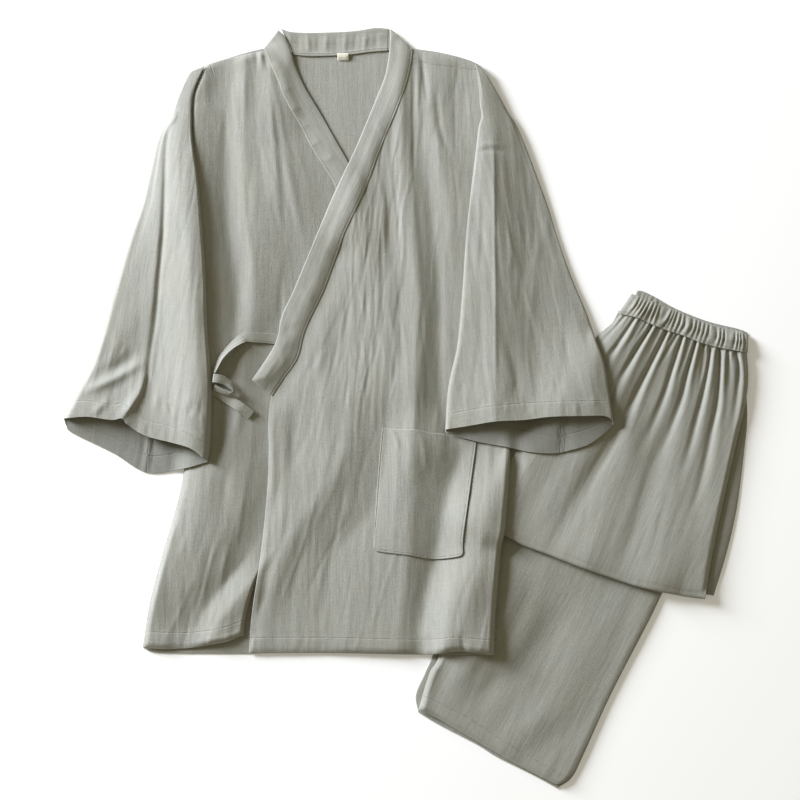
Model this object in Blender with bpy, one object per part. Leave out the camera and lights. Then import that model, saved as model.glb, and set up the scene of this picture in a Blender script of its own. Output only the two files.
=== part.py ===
"""Kimono pyjama set laid flat: a wrap jacket over elastic-waist trousers that are folded across.

Metres, +Z up. X runs to the right of the laid set and Y from hem to collar, seen from above. Tables are in
millimetres. Each cloth piece is a wall between two skins. Pieces are laid one after another, each resting on
what lies under it, with its own folds raised above that.
"""
import math
from collections import namedtuple

import bmesh
import bpy
import numpy as np

MM = 0.001
CLOTH_WALL = 1.3          # double gauze with its seam allowances, mm
COLLAR_WALL = 2.0         # four layers of cloth pressed flat
UNDER_COLLAR_WALL = 1.4   # the run that the over front presses down
LEG_BACK_WALL = 2.6       # back layer of the lower leg, with its seam allowances
TIE_WALL = 1.2
TIE_WIDTH = 13.0
LABEL_WALL = 1.0
LAYER_GAP = 0.3           # air between pieces
WAIST_RUCHES = 25         # pleats that the elastic draws across the shown half of the waistband
WAIST_RUCHE_HEIGHT = 2.6
SINGLE_THICKNESS = 2.6    # hidden layers above the turned-back length
FOLDED_THICKNESS = 7.0    # hidden layers with the turned-back length of both legs
FOLDED_LAYERS = 3         # edges that show on the folded stack
TURN_SLOPE = 0.35         # the turned-back length ends along y = TURN_SLOPE * x + TURN_START
TURN_START = -90.0
TURN_BLEND = 22.0         # half the width over which its end thins out
EDGE_OUT = 1.4            # a stacked layer's edge beyond the rim, and the notch between two of them
EDGE_NOTCH = 0.2
STEEPEST_DRAPE = 0.42     # rise over run where cloth slopes off what lies under it
SLEEVE_FOLD_AIR = 1.8     # air inside a sleeve's pressed edges
SLEEVE_FOLD_ROUND = 0.9   # how far a pressed edge rounds out
RIGHT_SLEEVE_ARCH = 17.0  # how far the front layer stands off the back layer at the cuff
LEFT_SLEEVE_ARCH = 19.0
RASTER = 1.25             # spacing of the height map, mm
REACH_X = 450.0
REACH_Y = 500.0

Point = namedtuple("Point", "x y")
Fold = namedtuple("Fold", "x0 y0 x1 y1 bow width height")
Cloth = namedtuple("Cloth", "red green blue roughness")
Wave = namedtuple("Wave", "size pitch phase")
Turn = namedtuple("Turn", "push height_left")

SAGE = Cloth(0.37, 0.37, 0.32, 0.92)
CREAM = Cloth(0.78, 0.74, 0.62, 0.85)

RUCHE_DRIFT = (Wave(0.16, 1.7, 0.0), Wave(0.1, 4.3, 1.0))   # in ruches: how far each strays from even spacing
RUCHE_SIZE = Wave(0.25, 2.9, 0.4)
CROSS_FOLD = (Turn(2.6, 0.66), Turn(3.4, 0.3), Turn(3.0, 0.0))   # how cloth rounds the cross fold, top to bottom


def clear_scene():
    for thing in list(bpy.data.objects):
        bpy.data.objects.remove(thing, do_unlink=True)


def cloth_material(name, cloth):
    material = bpy.data.materials.new(name)
    material.use_nodes = True
    shader = material.node_tree.nodes["Principled BSDF"]
    shader.inputs["Base Color"].default_value = (cloth.red, cloth.green, cloth.blue, 1.0)
    shader.inputs["Roughness"].default_value = cloth.roughness
    shader.inputs["Metallic"].default_value = 0.0
    return material


def line(*pairs):
    return [Point(*pair) for pair in pairs]


def smooth_line(points, count):
    """Points evenly spaced along a smooth curve through the given ones."""
    p = np.array(points, dtype=float)
    before = np.vstack([2 * p[0] - p[1], p, 2 * p[-1] - p[-2]])
    dense = []
    for i in range(len(p) - 1):
        a, b, c, d = before[i : i + 4]
        t = np.linspace(0.0, 1.0, 12, endpoint=False)[:, None]
        dense.append(
            0.5 * (2 * b + (c - a) * t + (2 * a - 5 * b + 4 * c - d) * t**2 + (3 * b - a - 3 * c + d) * t**3)
        )
    dense = np.vstack(dense + [p[-1:]])
    along = np.concatenate([[0.0], np.cumsum(np.linalg.norm(np.diff(dense, axis=0), axis=1))])
    at = np.linspace(0.0, along[-1], count)
    return np.stack([np.interp(at, along, dense[:, k]) for k in range(2)], axis=1)


def patch(top, bottom, left, right, rows, columns):
    """A plan grid inside four edges: rows run from top to bottom, columns from left to right."""
    t, b = smooth_line(top, columns), smooth_line(bottom, columns)
    lf, r = smooth_line(left, rows), smooth_line(right, rows)
    u = np.linspace(0.0, 1.0, columns)[None, :, None]
    v = np.linspace(0.0, 1.0, rows)[:, None, None]
    ruled = (1 - v) * t[None] + v * b[None] + (1 - u) * lf[:, None] + u * r[:, None]
    corners = (1 - u) * (1 - v) * t[0] + u * (1 - v) * t[-1] + (1 - u) * v * b[0] + u * v * b[-1]
    return ruled - corners


def strip(inner, outer, rows, columns):
    """A plan grid between two long edges, its rows running along them."""
    a, b = smooth_line(inner, rows), smooth_line(outer, rows)
    u = np.linspace(0.0, 1.0, columns)[None, :, None]
    return (1 - u) * a[:, None] + u * b[:, None]


def ribbon(route, width, rows, columns):
    """A plan grid of even width along a route."""
    middle = smooth_line(route, rows)
    ahead = np.gradient(middle, axis=0)
    ahead /= np.linalg.norm(ahead, axis=1)[:, None]
    side = np.stack([-ahead[:, 1], ahead[:, 0]], axis=1)
    across = np.linspace(-0.5, 0.5, columns)[None, :, None] * width
    return middle[:, None] + side[:, None] * across


def fold_heights(plan, folds):
    """Soft ridges and troughs: bell-shaped across, fading towards both ends."""
    total = np.zeros(plan.shape[:2])
    t = np.linspace(0.0, 1.0, 17)
    for f in folds:
        start, end = np.array([f.x0, f.y0]), np.array([f.x1, f.y1])
        run = end - start
        side = np.array([-run[1], run[0]]) / np.linalg.norm(run)
        route = start + run * t[:, None] + side * (f.bow * 4 * t * (1 - t))[:, None]
        apart = np.linalg.norm(plan[:, :, None, :] - route[None, None], axis=3)
        nearest = apart.argmin(axis=2)
        strength = np.sin(np.pi * (0.08 + 0.84 * t[nearest])) ** 0.8
        total += f.height * strength * np.exp(-((apart.min(axis=2) / f.width) ** 2))
    return total


class Heap:
    """The height of everything laid so far, on an even raster."""

    def __init__(self):
        self.columns = int(2 * REACH_X / RASTER) + 1
        self.rows = int(2 * REACH_Y / RASTER) + 1
        self.top = np.zeros((self.rows, self.columns))

    def at(self, heights, plan):
        column = (plan[..., 0] + REACH_X) / RASTER
        row = (plan[..., 1] + REACH_Y) / RASTER
        c = np.clip(column.astype(int), 0, self.columns - 2)
        r = np.clip(row.astype(int), 0, self.rows - 2)
        u, v = column - c, row - r
        return (
            (1 - u) * (1 - v) * heights[r, c]
            + u * (1 - v) * heights[r, c + 1]
            + (1 - u) * v * heights[r + 1, c]
            + u * v * heights[r + 1, c + 1]
        )

    def draped(self, steepest):
        """The lowest surface over the heap that never falls steeper than the given slope."""
        surface = self.top.copy()
        for axis in (0, 1):
            fall = steepest * RASTER * np.arange(surface.shape[axis])
            fall = fall[:, None] if axis == 0 else fall[None, :]
            forward = np.maximum.accumulate(surface + fall, axis=axis) - fall
            backward = np.flip(np.maximum.accumulate(np.flip(surface - fall, axis), axis=axis), axis) + fall
            surface = np.maximum(forward, backward)
        return surface

    def cover(self, plan):
        """For each raster cell under a plan grid: its index, three grid points and their weights."""
        rows, columns = plan.shape[:2]
        cells, corners, weights = [], [], []
        flat = plan.reshape(-1, 2)
        for i in range(rows - 1):
            for j in range(columns - 1):
                a = i * columns + j
                for triangle in ((a, a + columns, a + 1), (a + 1, a + columns, a + columns + 1)):
                    found = self.cells_in(flat[list(triangle)])
                    if found is None:
                        continue
                    index, weight = found
                    cells.append(index)
                    corners.append(np.tile(triangle, (len(index), 1)))
                    weights.append(weight)
        return np.concatenate(cells), np.concatenate(corners), np.concatenate(weights)

    def cells_in(self, triangle):
        low = np.floor((triangle.min(axis=0) + [REACH_X, REACH_Y]) / RASTER).astype(int)
        high = np.ceil((triangle.max(axis=0) + [REACH_X, REACH_Y]) / RASTER).astype(int)
        c, r = np.meshgrid(np.arange(low[0], high[0] + 1), np.arange(low[1], high[1] + 1))
        x, y = c.ravel() * RASTER - REACH_X, r.ravel() * RASTER - REACH_Y
        (ax, ay), (bx, by), (cx, cy) = triangle
        area = (by - cy) * (ax - cx) + (cx - bx) * (ay - cy)
        if abs(area) < 1e-6:
            return None
        wa = ((by - cy) * (x - cx) + (cx - bx) * (y - cy)) / area
        wb = ((cy - ay) * (x - cx) + (ax - cx) * (y - cy)) / area
        weight = np.stack([wa, wb, 1 - wa - wb], axis=1)
        margin = -0.6 * RASTER / max(math.sqrt(abs(area)), RASTER)
        inside = (weight > margin).all(axis=1)
        if not inside.any():
            return None
        return (r.ravel() * self.columns + c.ravel())[inside], weight[inside]

    def lay(self, plan, raised, wall):
        """Rest a plan grid on the heap with its own raised folds. Gives the heights of its under side."""
        cells, corners, weights = self.cover(plan)
        under = self.at(self.draped(STEEPEST_DRAPE), plan).ravel()
        resting = under > 1e-6
        under = np.maximum(under + np.where(resting, LAYER_GAP, 0.0) + raised.ravel(), 0.0)
        below = self.top.ravel()[cells]
        need = np.where(below > 1e-6, below + LAYER_GAP, 0.0)
        for _ in range(60):
            short = need - (under[corners] * weights).sum(axis=1)
            worst = short > 1e-4
            if not worst.any():
                break
            lift = np.zeros_like(under)
            for k in range(3):
                share = np.where(weights[worst, k] > 0.08, short[worst], 0.0)
                np.maximum.at(lift, corners[worst, k], share)
            under += lift
        self.add(cells, ((under[corners] + wall) * weights).sum(axis=1))
        return under.reshape(plan.shape[:2])

    def add(self, cells, heights):
        layer = np.zeros(self.rows * self.columns)
        np.maximum.at(layer, cells, heights)
        layer = layer.reshape(self.rows, self.columns)
        spread = layer.copy()
        for dr in (-1, 0, 1):
            for dc in (-1, 0, 1):
                spread = np.maximum(spread, np.roll(layer, (dr, dc), axis=(0, 1)))
        self.top = np.maximum(self.top, spread)


def skin(plan, heights):
    return np.concatenate([plan, heights[..., None]], axis=2)


def border(rows, columns):
    """Grid indexes once round the edge of a grid."""
    loop = [(0, j) for j in range(columns)]
    loop += [(i, columns - 1) for i in range(1, rows)]
    loop += [(rows - 1, j) for j in range(columns - 2, -1, -1)]
    loop += [(i, 0) for i in range(rows - 2, 0, -1)]
    return loop


def make_object(name, vertices, faces, material):
    mesh = bpy.data.meshes.new(name)
    mesh.from_pydata([tuple(float(c) * MM for c in v) for v in vertices], [], faces)
    shape = bmesh.new()
    shape.from_mesh(mesh)
    bmesh.ops.recalc_face_normals(shape, faces=shape.faces)
    bmesh.ops.triangulate(shape, faces=shape.faces)
    shape.to_mesh(mesh)
    shape.free()
    mesh.materials.append(material)
    mesh.shade_smooth()
    piece = bpy.data.objects.new(name, mesh)
    bpy.context.scene.collection.objects.link(piece)
    return piece


def grid_faces(index):
    """Two triangles a cell, split along the same diagonal as the height map reads them."""
    rows, columns = index.shape
    faces = []
    for i in range(rows - 1):
        for j in range(columns - 1):
            faces.append((index[i, j], index[i + 1, j], index[i, j + 1]))
            faces.append((index[i, j + 1], index[i + 1, j], index[i + 1, j + 1]))
    return faces


def wall_object(name, upper, lower, material, edge_layers=1):
    """A closed wall between two skins. More edge layers scallop its rim, as stacked folds do."""
    rows, columns = upper.shape[:2]
    vertices = list(upper.reshape(-1, 3)) + list(lower.reshape(-1, 3))
    top = np.arange(rows * columns).reshape(rows, columns)
    bottom = top + rows * columns
    faces = grid_faces(top) + [face[::-1] for face in grid_faces(bottom)]
    loop = border(rows, columns)
    above = [top[i, j] for i, j in loop]
    below = [bottom[i, j] for i, j in loop]
    rings = [above]
    if edge_layers > 1:
        edge_up = np.array([upper[i, j] for i, j in loop])
        edge_down = np.array([lower[i, j] for i, j in loop])
        ahead = np.roll(edge_up, -1, axis=0) - np.roll(edge_up, 1, axis=0)
        out = np.stack([-ahead[:, 1], ahead[:, 0], 0 * ahead[:, 0]], axis=1)
        out /= np.linalg.norm(out, axis=1)[:, None]
        if ((edge_up[:, :2] - edge_up[:, :2].mean(axis=0)) * out[:, :2]).sum() < 0:
            out = -out
        for step in range(1, 2 * edge_layers):
            share = step / (2 * edge_layers)
            bulge = EDGE_OUT if step % 2 else EDGE_NOTCH
            ring = edge_up * (1 - share) + edge_down * share + out * bulge
            rings.append(list(range(len(vertices), len(vertices) + len(loop))))
            vertices += list(ring)
    rings.append(below)
    for a, b in zip(rings, rings[1:]):
        for k in range(len(loop)):
            n = (k + 1) % len(loop)
            faces.append((a[k], a[n], b[n], b[k]))
    return make_object(name, vertices, faces, material)


def tube_object(name, outside, inside, material):
    """A closed tube wall: rows run along the tube and columns run once round it, over the top and back below."""
    rows, columns = outside.shape[:2]
    outer = np.arange(rows * columns).reshape(rows, columns)
    inner = outer + rows * columns
    faces = []
    for i in range(rows - 1):
        for j in range(columns):
            n = (j + 1) % columns
            for wall in (outer, inner):
                near, far = (wall[i, j], wall[i, n]), (wall[i + 1, j], wall[i + 1, n])
                if j >= columns // 2 - 1:
                    halves = [(near[0], far[0], far[1]), (near[0], far[1], near[1])]
                else:
                    halves = [(near[0], far[0], near[1]), (near[1], far[0], far[1])]
                faces += halves if wall is outer else [half[::-1] for half in halves]
    for i in (0, rows - 1):
        for j in range(columns):
            n = (j + 1) % columns
            faces.append((outer[i, j], outer[i, n], inner[i, n], inner[i, j]))
    vertices = list(outside.reshape(-1, 3)) + list(inside.reshape(-1, 3))
    return make_object(name, vertices, faces, material)


def panel(heap, name, plan, folds, material, wall=CLOTH_WALL, extra=None, edge_layers=1):
    raised = np.maximum(fold_heights(plan, folds), 0.0)
    if extra is not None:
        raised = raised + extra
    under = heap.lay(plan, raised, wall)
    return wall_object(name, skin(plan, under + wall), skin(plan, under), material, edge_layers)


BODY_LEFT = line(
    (-270, 420), (-277, 408), (-271, 388), (-274, 260), (-275, 135), (-276, 10), (-279, -76), (-291, -132),
    (-302, -169), (-321, -240), (-331, -300),
)
BODY_RIGHT = line(
    (97, 421), (103, 409), (101, 388), (110, 260), (122, 135), (130, 10), (130, -50), (124, -141), (118, -181),
    (111, -261), (109, -309),
)


def inset(points, by):
    return [Point(p.x + by, p.y) for p in points]


def drawn_in(plan, by):
    """The same grid with its rows shortened by a small distance at each end."""
    middle = (plan[:, :1] + plan[:, -1:]) / 2
    width = np.linalg.norm(plan[:, -1] - plan[:, 0], axis=1)[:, None, None]
    return middle + (plan - middle) * (1 - 2 * by / width)


def lay_trousers(heap, sage):
    leg_left = line((100, -140), (60, -240), (40, -310), (28, -332), (14, -378))
    leg_right = line((366, -150), (322, -226), (302, -266), (254, -359), (219, -436), (205, -462), (190, -471))
    back_left = line((98, -140), (58, -240), (32, -310), (22, -333), (11, -359), (14, -381))
    back_right = line((368, -150), (323, -226), (303, -266), (255, -359), (220, -436), (206, -463), (188, -476))
    hidden_end = line((100, -140), (190, -122), (280, -128), (366, -150))
    back_hem = line((14, -381), (39, -396), (87, -421), (111, -436), (159, -460), (188, -476))
    front_hem = line((14, -378), (39, -389), (70, -407), (111, -431), (135, -445), (182, -469), (190, -471))
    plan = patch(hidden_end, back_hem, back_left, back_right, 10, 7)
    panel(heap, "trouser_leg_back", plan, [], sage, wall=LEG_BACK_WALL, edge_layers=2)
    leg_folds = [
        Fold(187, -256, 87, -361, 14, 26, 3.2),
        Fold(290, -250, 205, -420, -10, 24, 3.4),
        Fold(120, -240, 60, -330, 6, 20, 2.6),
        Fold(230, -330, 150, -430, 4, 22, 2.2),
        Fold(330, -232, 280, -300, 0, 14, 2.0),
    ]
    plan = patch(hidden_end, front_hem, leg_left, leg_right, 14, 10)
    panel(heap, "trouser_leg_front", plan, leg_folds, sage)

    waist = line((266, 114), (303, 106), (347, 90), (392, 76), (420, 71))
    fold_edge = line((78, -134), (124, -153), (179, -177), (220, -193), (292, -217), (344, -229), (384, -235))
    stack_left = line((266, 114), (240, 88), (176, 0), (143, -48), (110, -92), (78, -134))
    stack_right = line((420, 71), (425, 16), (426, -15), (423, -47), (413, -125), (400, -182), (384, -235))
    plan = patch(waist, fold_edge, stack_left, stack_right, 12, 10)
    turned = 1 / (1 + np.exp((plan[..., 1] - TURN_SLOPE * plan[..., 0] - TURN_START) / TURN_BLEND))
    under = heap.lay(plan, np.zeros(plan.shape[:2]), 0.0)
    thick = SINGLE_THICKNESS + (FOLDED_THICKNESS - SINGLE_THICKNESS) * turned
    cells, corners, weights = heap.cover(plan)
    heap.add(cells, ((under + thick).ravel()[corners] * weights).sum(axis=1))
    wall_object(
        "trouser_folded_layers", skin(plan, under + thick), skin(plan, under), sage, edge_layers=FOLDED_LAYERS
    )

    gathers = [
        Fold(278, 110, 226, 40, 4, 8, 5.0),
        Fold(296, 106, 236, 20, 4, 7, 5.5),
        Fold(316, 98, 250, -20, 6, 8, 6.0),
        Fold(336, 92, 280, -30, 6, 7, 5.5),
        Fold(353, 86, 312, -10, 4, 7, 6.0),
        Fold(368, 80, 330, -40, 3, 7, 5.5),
        Fold(384, 77, 350, -60, 2, 7, 6.0),
        Fold(398, 73, 376, -60, 0, 7, 5.5),
        Fold(412, 71, 402, -30, -3, 7, 5.0),
        Fold(250, 20, 170, -90, 8, 16, 3.5),
        Fold(300, -30, 236, -150, 8, 16, 3.5),
        Fold(350, -60, 330, -190, 4, 16, 3.5),
    ]
    waist_line = line((265, 122), (287, 118), (303, 110), (347, 94), (392, 80), (425, 73))
    fold_line = line(
        (75, -137), (124, -157), (147, -169), (179, -181), (220, -197), (261, -211), (292, -221), (344, -232),
        (373, -236),
    )
    top_left = line((265, 122), (255, 104), (237, 89), (210, 50), (176, 0), (141, -49), (110, -92), (75, -137))
    top_right = line((425, 73), (427, 35), (422, -3), (415, -31), (394, -125), (381, -187), (373, -236))
    plan = patch(waist_line, fold_line, top_left, top_right, 15, 31)
    laid_before = heap.top.copy()
    under = heap.lay(plan, np.maximum(fold_heights(plan, gathers), 0.0), CLOTH_WALL)
    upper, lower = skin(plan, under + CLOTH_WALL), skin(plan, under)
    wall_object("trouser_leg_upper", *turned_under(upper, lower, heap, laid_before), sage)
    lay_waistband(heap, sage)


def turned_under(upper, lower, heap, laid_before):
    """Carry both skins round the cross fold and down its side, to just above the lower leg."""
    edge_up, edge_down = upper[-1], lower[-1]
    ahead = np.gradient(edge_up[:, :2], axis=0)
    out = np.stack([ahead[:, 1], -ahead[:, 0]], axis=1)
    out /= np.linalg.norm(out, axis=1)[:, None]
    rest = np.max([heap.at(laid_before, edge_up[:, :2] + out * reach) for reach in (1.5, 4.0, 6.5)], axis=0)
    rest = np.max([np.roll(rest, shift) for shift in (-1, 0, 1)], axis=0) + 2 * LAYER_GAP
    up_rows, down_rows = [upper], [lower]
    for turn in CROSS_FOLD:
        row_up, row_down = edge_up.copy(), edge_down.copy()
        row_up[:, :2] += out * (turn.push + CLOTH_WALL / 2)
        row_down[:, :2] += out * (turn.push - CLOTH_WALL / 2)
        row_down[:, 2] = rest + (edge_down[:, 2] - rest) * turn.height_left
        row_up[:, 2] = row_down[:, 2] + CLOTH_WALL * turn.height_left
        up_rows.append(row_up[None])
        down_rows.append(row_down[None])
    return np.concatenate(up_rows), np.concatenate(down_rows)


def lay_waistband(heap, sage):
    across = 4 * WAIST_RUCHES + 1
    back_top = line((288, 147), (296, 146), (312, 138), (335, 125), (375, 109), (415, 99), (426, 94))
    back_bottom = line((280, 128), (303, 118), (335, 105), (375, 92), (426, 80))
    plan = strip(back_top, back_bottom, across, 2)
    panel(heap, "waistband_back", plan, [], sage, extra=ruche_heights(plan, 0.5))
    front_top = line((281, 143), (302, 136), (319, 128), (340, 121), (360, 112), (389, 102), (415, 96), (427, 91))
    front_bottom = line((264, 118), (287, 113), (303, 106), (325, 97), (347, 90), (366, 82), (392, 75), (426, 69))
    plan = strip(front_top, front_bottom, across, 4)
    panel(heap, "waistband_front", plan, [], sage, extra=ruche_heights(plan, 1.0))


def ruche_heights(plan, strength):
    """Uneven small pleats across a drawn-in band, flatter at its two edges."""
    rows, columns = plan.shape[:2]
    t = np.arange(rows) / 4.0
    drift = sum(w.size * np.sin(w.pitch * t + w.phase) for w in RUCHE_DRIFT)
    wave = np.cos(2 * np.pi * (t + drift)) * 0.5 + 0.5
    size = 1 - RUCHE_SIZE.size * (1 - np.sin(RUCHE_SIZE.pitch * t + RUCHE_SIZE.phase))
    across = np.sin(np.pi * (0.2 + 0.6 * np.linspace(0.0, 1.0, columns)))
    return WAIST_RUCHE_HEIGHT * strength * (wave * size)[:, None] * across[None, :]


def lay_jacket_body(heap, sage, cream):
    shoulders = line(
        (-270, 420), (-247, 431), (-180, 450), (-152, 447), (-122, 441), (-87, 441), (-49, 445), (-15, 449),
        (5, 450), (59, 441), (97, 421),
    )
    back_hem = line((-331, -300), (-316, -306), (-279, -307), (-199, -307), (-97, -304), (30, -306), (109, -307))
    plan = patch(shoulders, back_hem, BODY_LEFT, BODY_RIGHT, 22, 14)
    panel(heap, "jacket_back", plan, [], sage)

    front_right_top = line((-269, 419), (-247, 430), (-215, 439), (-176, 448))
    wrap_edge = line(
        (-176, 448), (-157, 427), (-144, 392), (-120, 346), (-94, 307), (-69, 254), (-54, 210), (-30, 135),
        (-12, 60), (-15, 16), (-40, -27), (-84, -90), (-134, -140), (-165, -175), (-185, -209), (-200, -254),
        (-204, -284),
    )
    hem = line((-329, -299), (-304, -301), (-271, -300), (-246, -296), (-224, -292), (-204, -284))
    folds = [
        Fold(-186, 430, -206, 120, 6, 13, 4.5),
        Fold(-205, 130, -215, 10, -4, 12, 4.0),
        Fold(-212, 15, -276, -120, 10, 16, 4.5),
        Fold(-165, 400, -150, 130, 8, 12, 3.0),
        Fold(-200, -60, -262, -260, -6, 20, 3.5),
        Fold(-232, -230, -205, -285, 4, 14, 4.5),
        Fold(-300, -150, -318, -280, 4, 14, 2.5),
    ]
    plan = patch(front_right_top, hem, inset(BODY_LEFT, 1.0), wrap_edge, 24, 10)
    panel(heap, "jacket_front_right", plan, folds, sage)

    neck_left_in = line((-161, 473), (-153, 464), (-144, 443), (-139, 427), (-126, 399), (-107, 367), (-89, 335),
                        (-73, 307), (-59, 275), (-44, 229), (-18, 154), (1, 72), (6, 29))
    neck_left_out = line((-179, 450), (-174, 437), (-162, 410), (-153, 387), (-132, 350), (-119, 325), (-98, 292),
                         (-91, 279), (-80, 245), (-69, 204), (-44, 135), (-28, 66), (-19, 20))
    back_top = line((-158, 475), (-145, 471), (-120, 470), (-81, 471), (-59, 473), (-40, 476), (-23, 475))
    back_seam = line((-142, 442), (-122, 440), (-87, 441), (-71, 442), (-49, 445), (-24, 447))
    panel(heap, "collar_back", strip(back_top, back_seam, 13, 3), [], sage, wall=COLLAR_WALL)
    label = patch(line((-87, 444), (-73, 444)), line((-87, 435), (-73, 435)), line((-87, 444), (-87, 435)),
                  line((-73, 444), (-73, 435)), 2, 2)
    panel(heap, "neck_label", label, [], cream, wall=LABEL_WALL)
    panel(heap, "collar_right", strip(neck_left_in, neck_left_out, 26, 3), [], sage, wall=UNDER_COLLAR_WALL)

    front_left_top = line((-8, 455), (5, 450), (31, 445), (59, 441), (86, 432), (97, 421))
    over_edge = line(
        (-8, 455), (-9, 432), (-21, 390), (-42, 341), (-69, 280), (-92, 225), (-122, 150), (-142, 102), (-152, 70),
        (-165, 36), (-173, -10), (-173, -54), (-175, -106), (-183, -182), (-194, -257), (-198, -307),
    )
    over_hem = line((-198, -307), (-97, -307), (-9, -309), (30, -309), (62, -305), (94, -308), (108, -310))
    over_folds = [
        Fold(0, 400, -20, 60, 4, 12, 3.4),
        Fold(14, 250, -4, -10, 2, 10, 3.6),
        Fold(22, -20, 14, -280, 2, 11, 3.4),
        Fold(54, 180, 56, -30, 2, 12, 4.0),
        Fold(44, 400, 74, 280, -3, 12, 2.8),
        Fold(-60, 220, -110, -40, 4, 16, 2.2),
        Fold(-150, 20, -176, -240, 3, 9, 2.4),
        Fold(-70, -60, -92, -280, 0, 18, 2.2),
        Fold(70, -210, 80, -300, 0, 10, 2.6),
    ]
    plan = patch(front_left_top, over_hem, over_edge, inset(BODY_RIGHT, -1.0), 28, 15)
    panel(heap, "jacket_front_left", plan, over_folds, sage)


def lay_trims(heap, sage):
    pocket_top = line((-31, -24), (-20, -26), (11, -27), (30, -31), (51, -33), (87, -43))
    pocket_bottom = line((-42, -175), (-38, -179), (-17, -182), (2, -184), (30, -189), (50, -188), (66, -185),
                         (70, -181))
    pocket_left = line((-31, -24), (-35, -66), (-40, -134), (-42, -175))
    pocket_right = line((87, -43), (80, -92), (74, -134), (70, -165), (70, -181))
    plan = patch(pocket_top, pocket_bottom, pocket_left, pocket_right, 9, 8)
    pocket_folds = [Fold(22, -35, 14, -180, 2, 11, 2.6), Fold(0, -24, 40, -30, 3, 10, 1.6)]
    panel(heap, "pocket", plan, pocket_folds, sage)

    inner = line((-21, 475), (-22, 449), (-27, 418), (-36, 394), (-49, 362), (-65, 324), (-83, 286), (-95, 260),
                 (-117, 207), (-142, 147), (-157, 114), (-161, 92), (-167, 76), (-181, 54), (-194, 35))
    outer = line((5, 451), (7, 444), (2, 415), (-9, 383), (-21, 354), (-36, 317), (-52, 274), (-77, 221),
                 (-88, 190), (-104, 147), (-121, 112), (-129, 92), (-137, 62), (-155, 36), (-169, 15))
    panel(heap, "collar_left", strip(inner, outer, 32, 3), [], sage, wall=COLLAR_WALL)

    tie_route = line((-163, 84), (-174, 87), (-190, 89), (-205, 86), (-222, 74), (-234, 62), (-240, 51), (-252, 42))
    plan = ribbon(tie_route, TIE_WIDTH, 15, 3)
    panel(heap, "tie_collar", plan, [Fold(-212, 82, -232, 64, 0, 9, 4.0)], sage, wall=TIE_WALL)
    loop_route = line((-255, 38), (-240, 37), (-226, 31), (-220, 24))
    plan = ribbon(loop_route, TIE_WIDTH, 9, 3)
    panel(heap, "tie_bow_loop", plan, [Fold(-242, 36, -222, 28, 0, 8, 4.0)], sage, wall=TIE_WALL)
    free_route = line((-254, 32), (-240, 20), (-222, 10), (-204, -3), (-196, -8))
    panel(heap, "tie_free_end", ribbon(free_route, TIE_WIDTH, 11, 3), [], sage, wall=TIE_WALL)


def sleeve(heap, name, material, armhole, inner, outer, cuff, cuff_back, arch, folds, rows=20, across=9):
    """A wide sleeve lying flat: its back layer rests on the heap, its front layer arches over it."""
    whole_front = patch(armhole, cuff, inner, outer, rows, across)
    whole_back = patch(armhole, cuff_back, inner[:-1] + [cuff_back[0]], outer[:-1] + [cuff_back[-1]], rows, across)
    front, back = drawn_in(whole_front, SLEEVE_FOLD_ROUND), drawn_in(whole_back, SLEEVE_FOLD_ROUND)
    back_under = heap.lay(back, np.zeros(back.shape[:2]), CLOTH_WALL)
    along = np.linspace(0.0, 1.0, rows)[:, None]
    u = np.linspace(0.0, 1.0, across)
    lift = SLEEVE_FOLD_AIR + arch * along**1.6 * np.sin(np.pi * np.clip(u, 0.04, 0.96))[None, :] ** 0.7
    raised = np.maximum(lift + fold_heights(front, folds), SLEEVE_FOLD_AIR)
    front_under = heap.lay(front, raised, CLOTH_WALL)
    middle = (front_under + back_under + CLOTH_WALL) / 2
    edge = (whole_front + whole_back) / 2
    outside, inside = [], []
    for skin_parts, near, turn in ((outside, 0.0, 0.0), (inside, CLOTH_WALL, CLOTH_WALL)):
        up = front_under + (CLOTH_WALL if skin_parts is outside else 0.0)
        down = back_under + (0.0 if skin_parts is outside else CLOTH_WALL)
        fold = skin(drawn_in(edge, turn), middle)
        skin_parts.append(skin(drawn_in(front, near), up))
        skin_parts.append(fold[:, -1:])
        skin_parts.append(skin(drawn_in(back, near), down)[:, ::-1])
        skin_parts.append(fold[:, :1])
    return tube_object(name, np.concatenate(outside, axis=1), np.concatenate(inside, axis=1), material)


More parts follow.
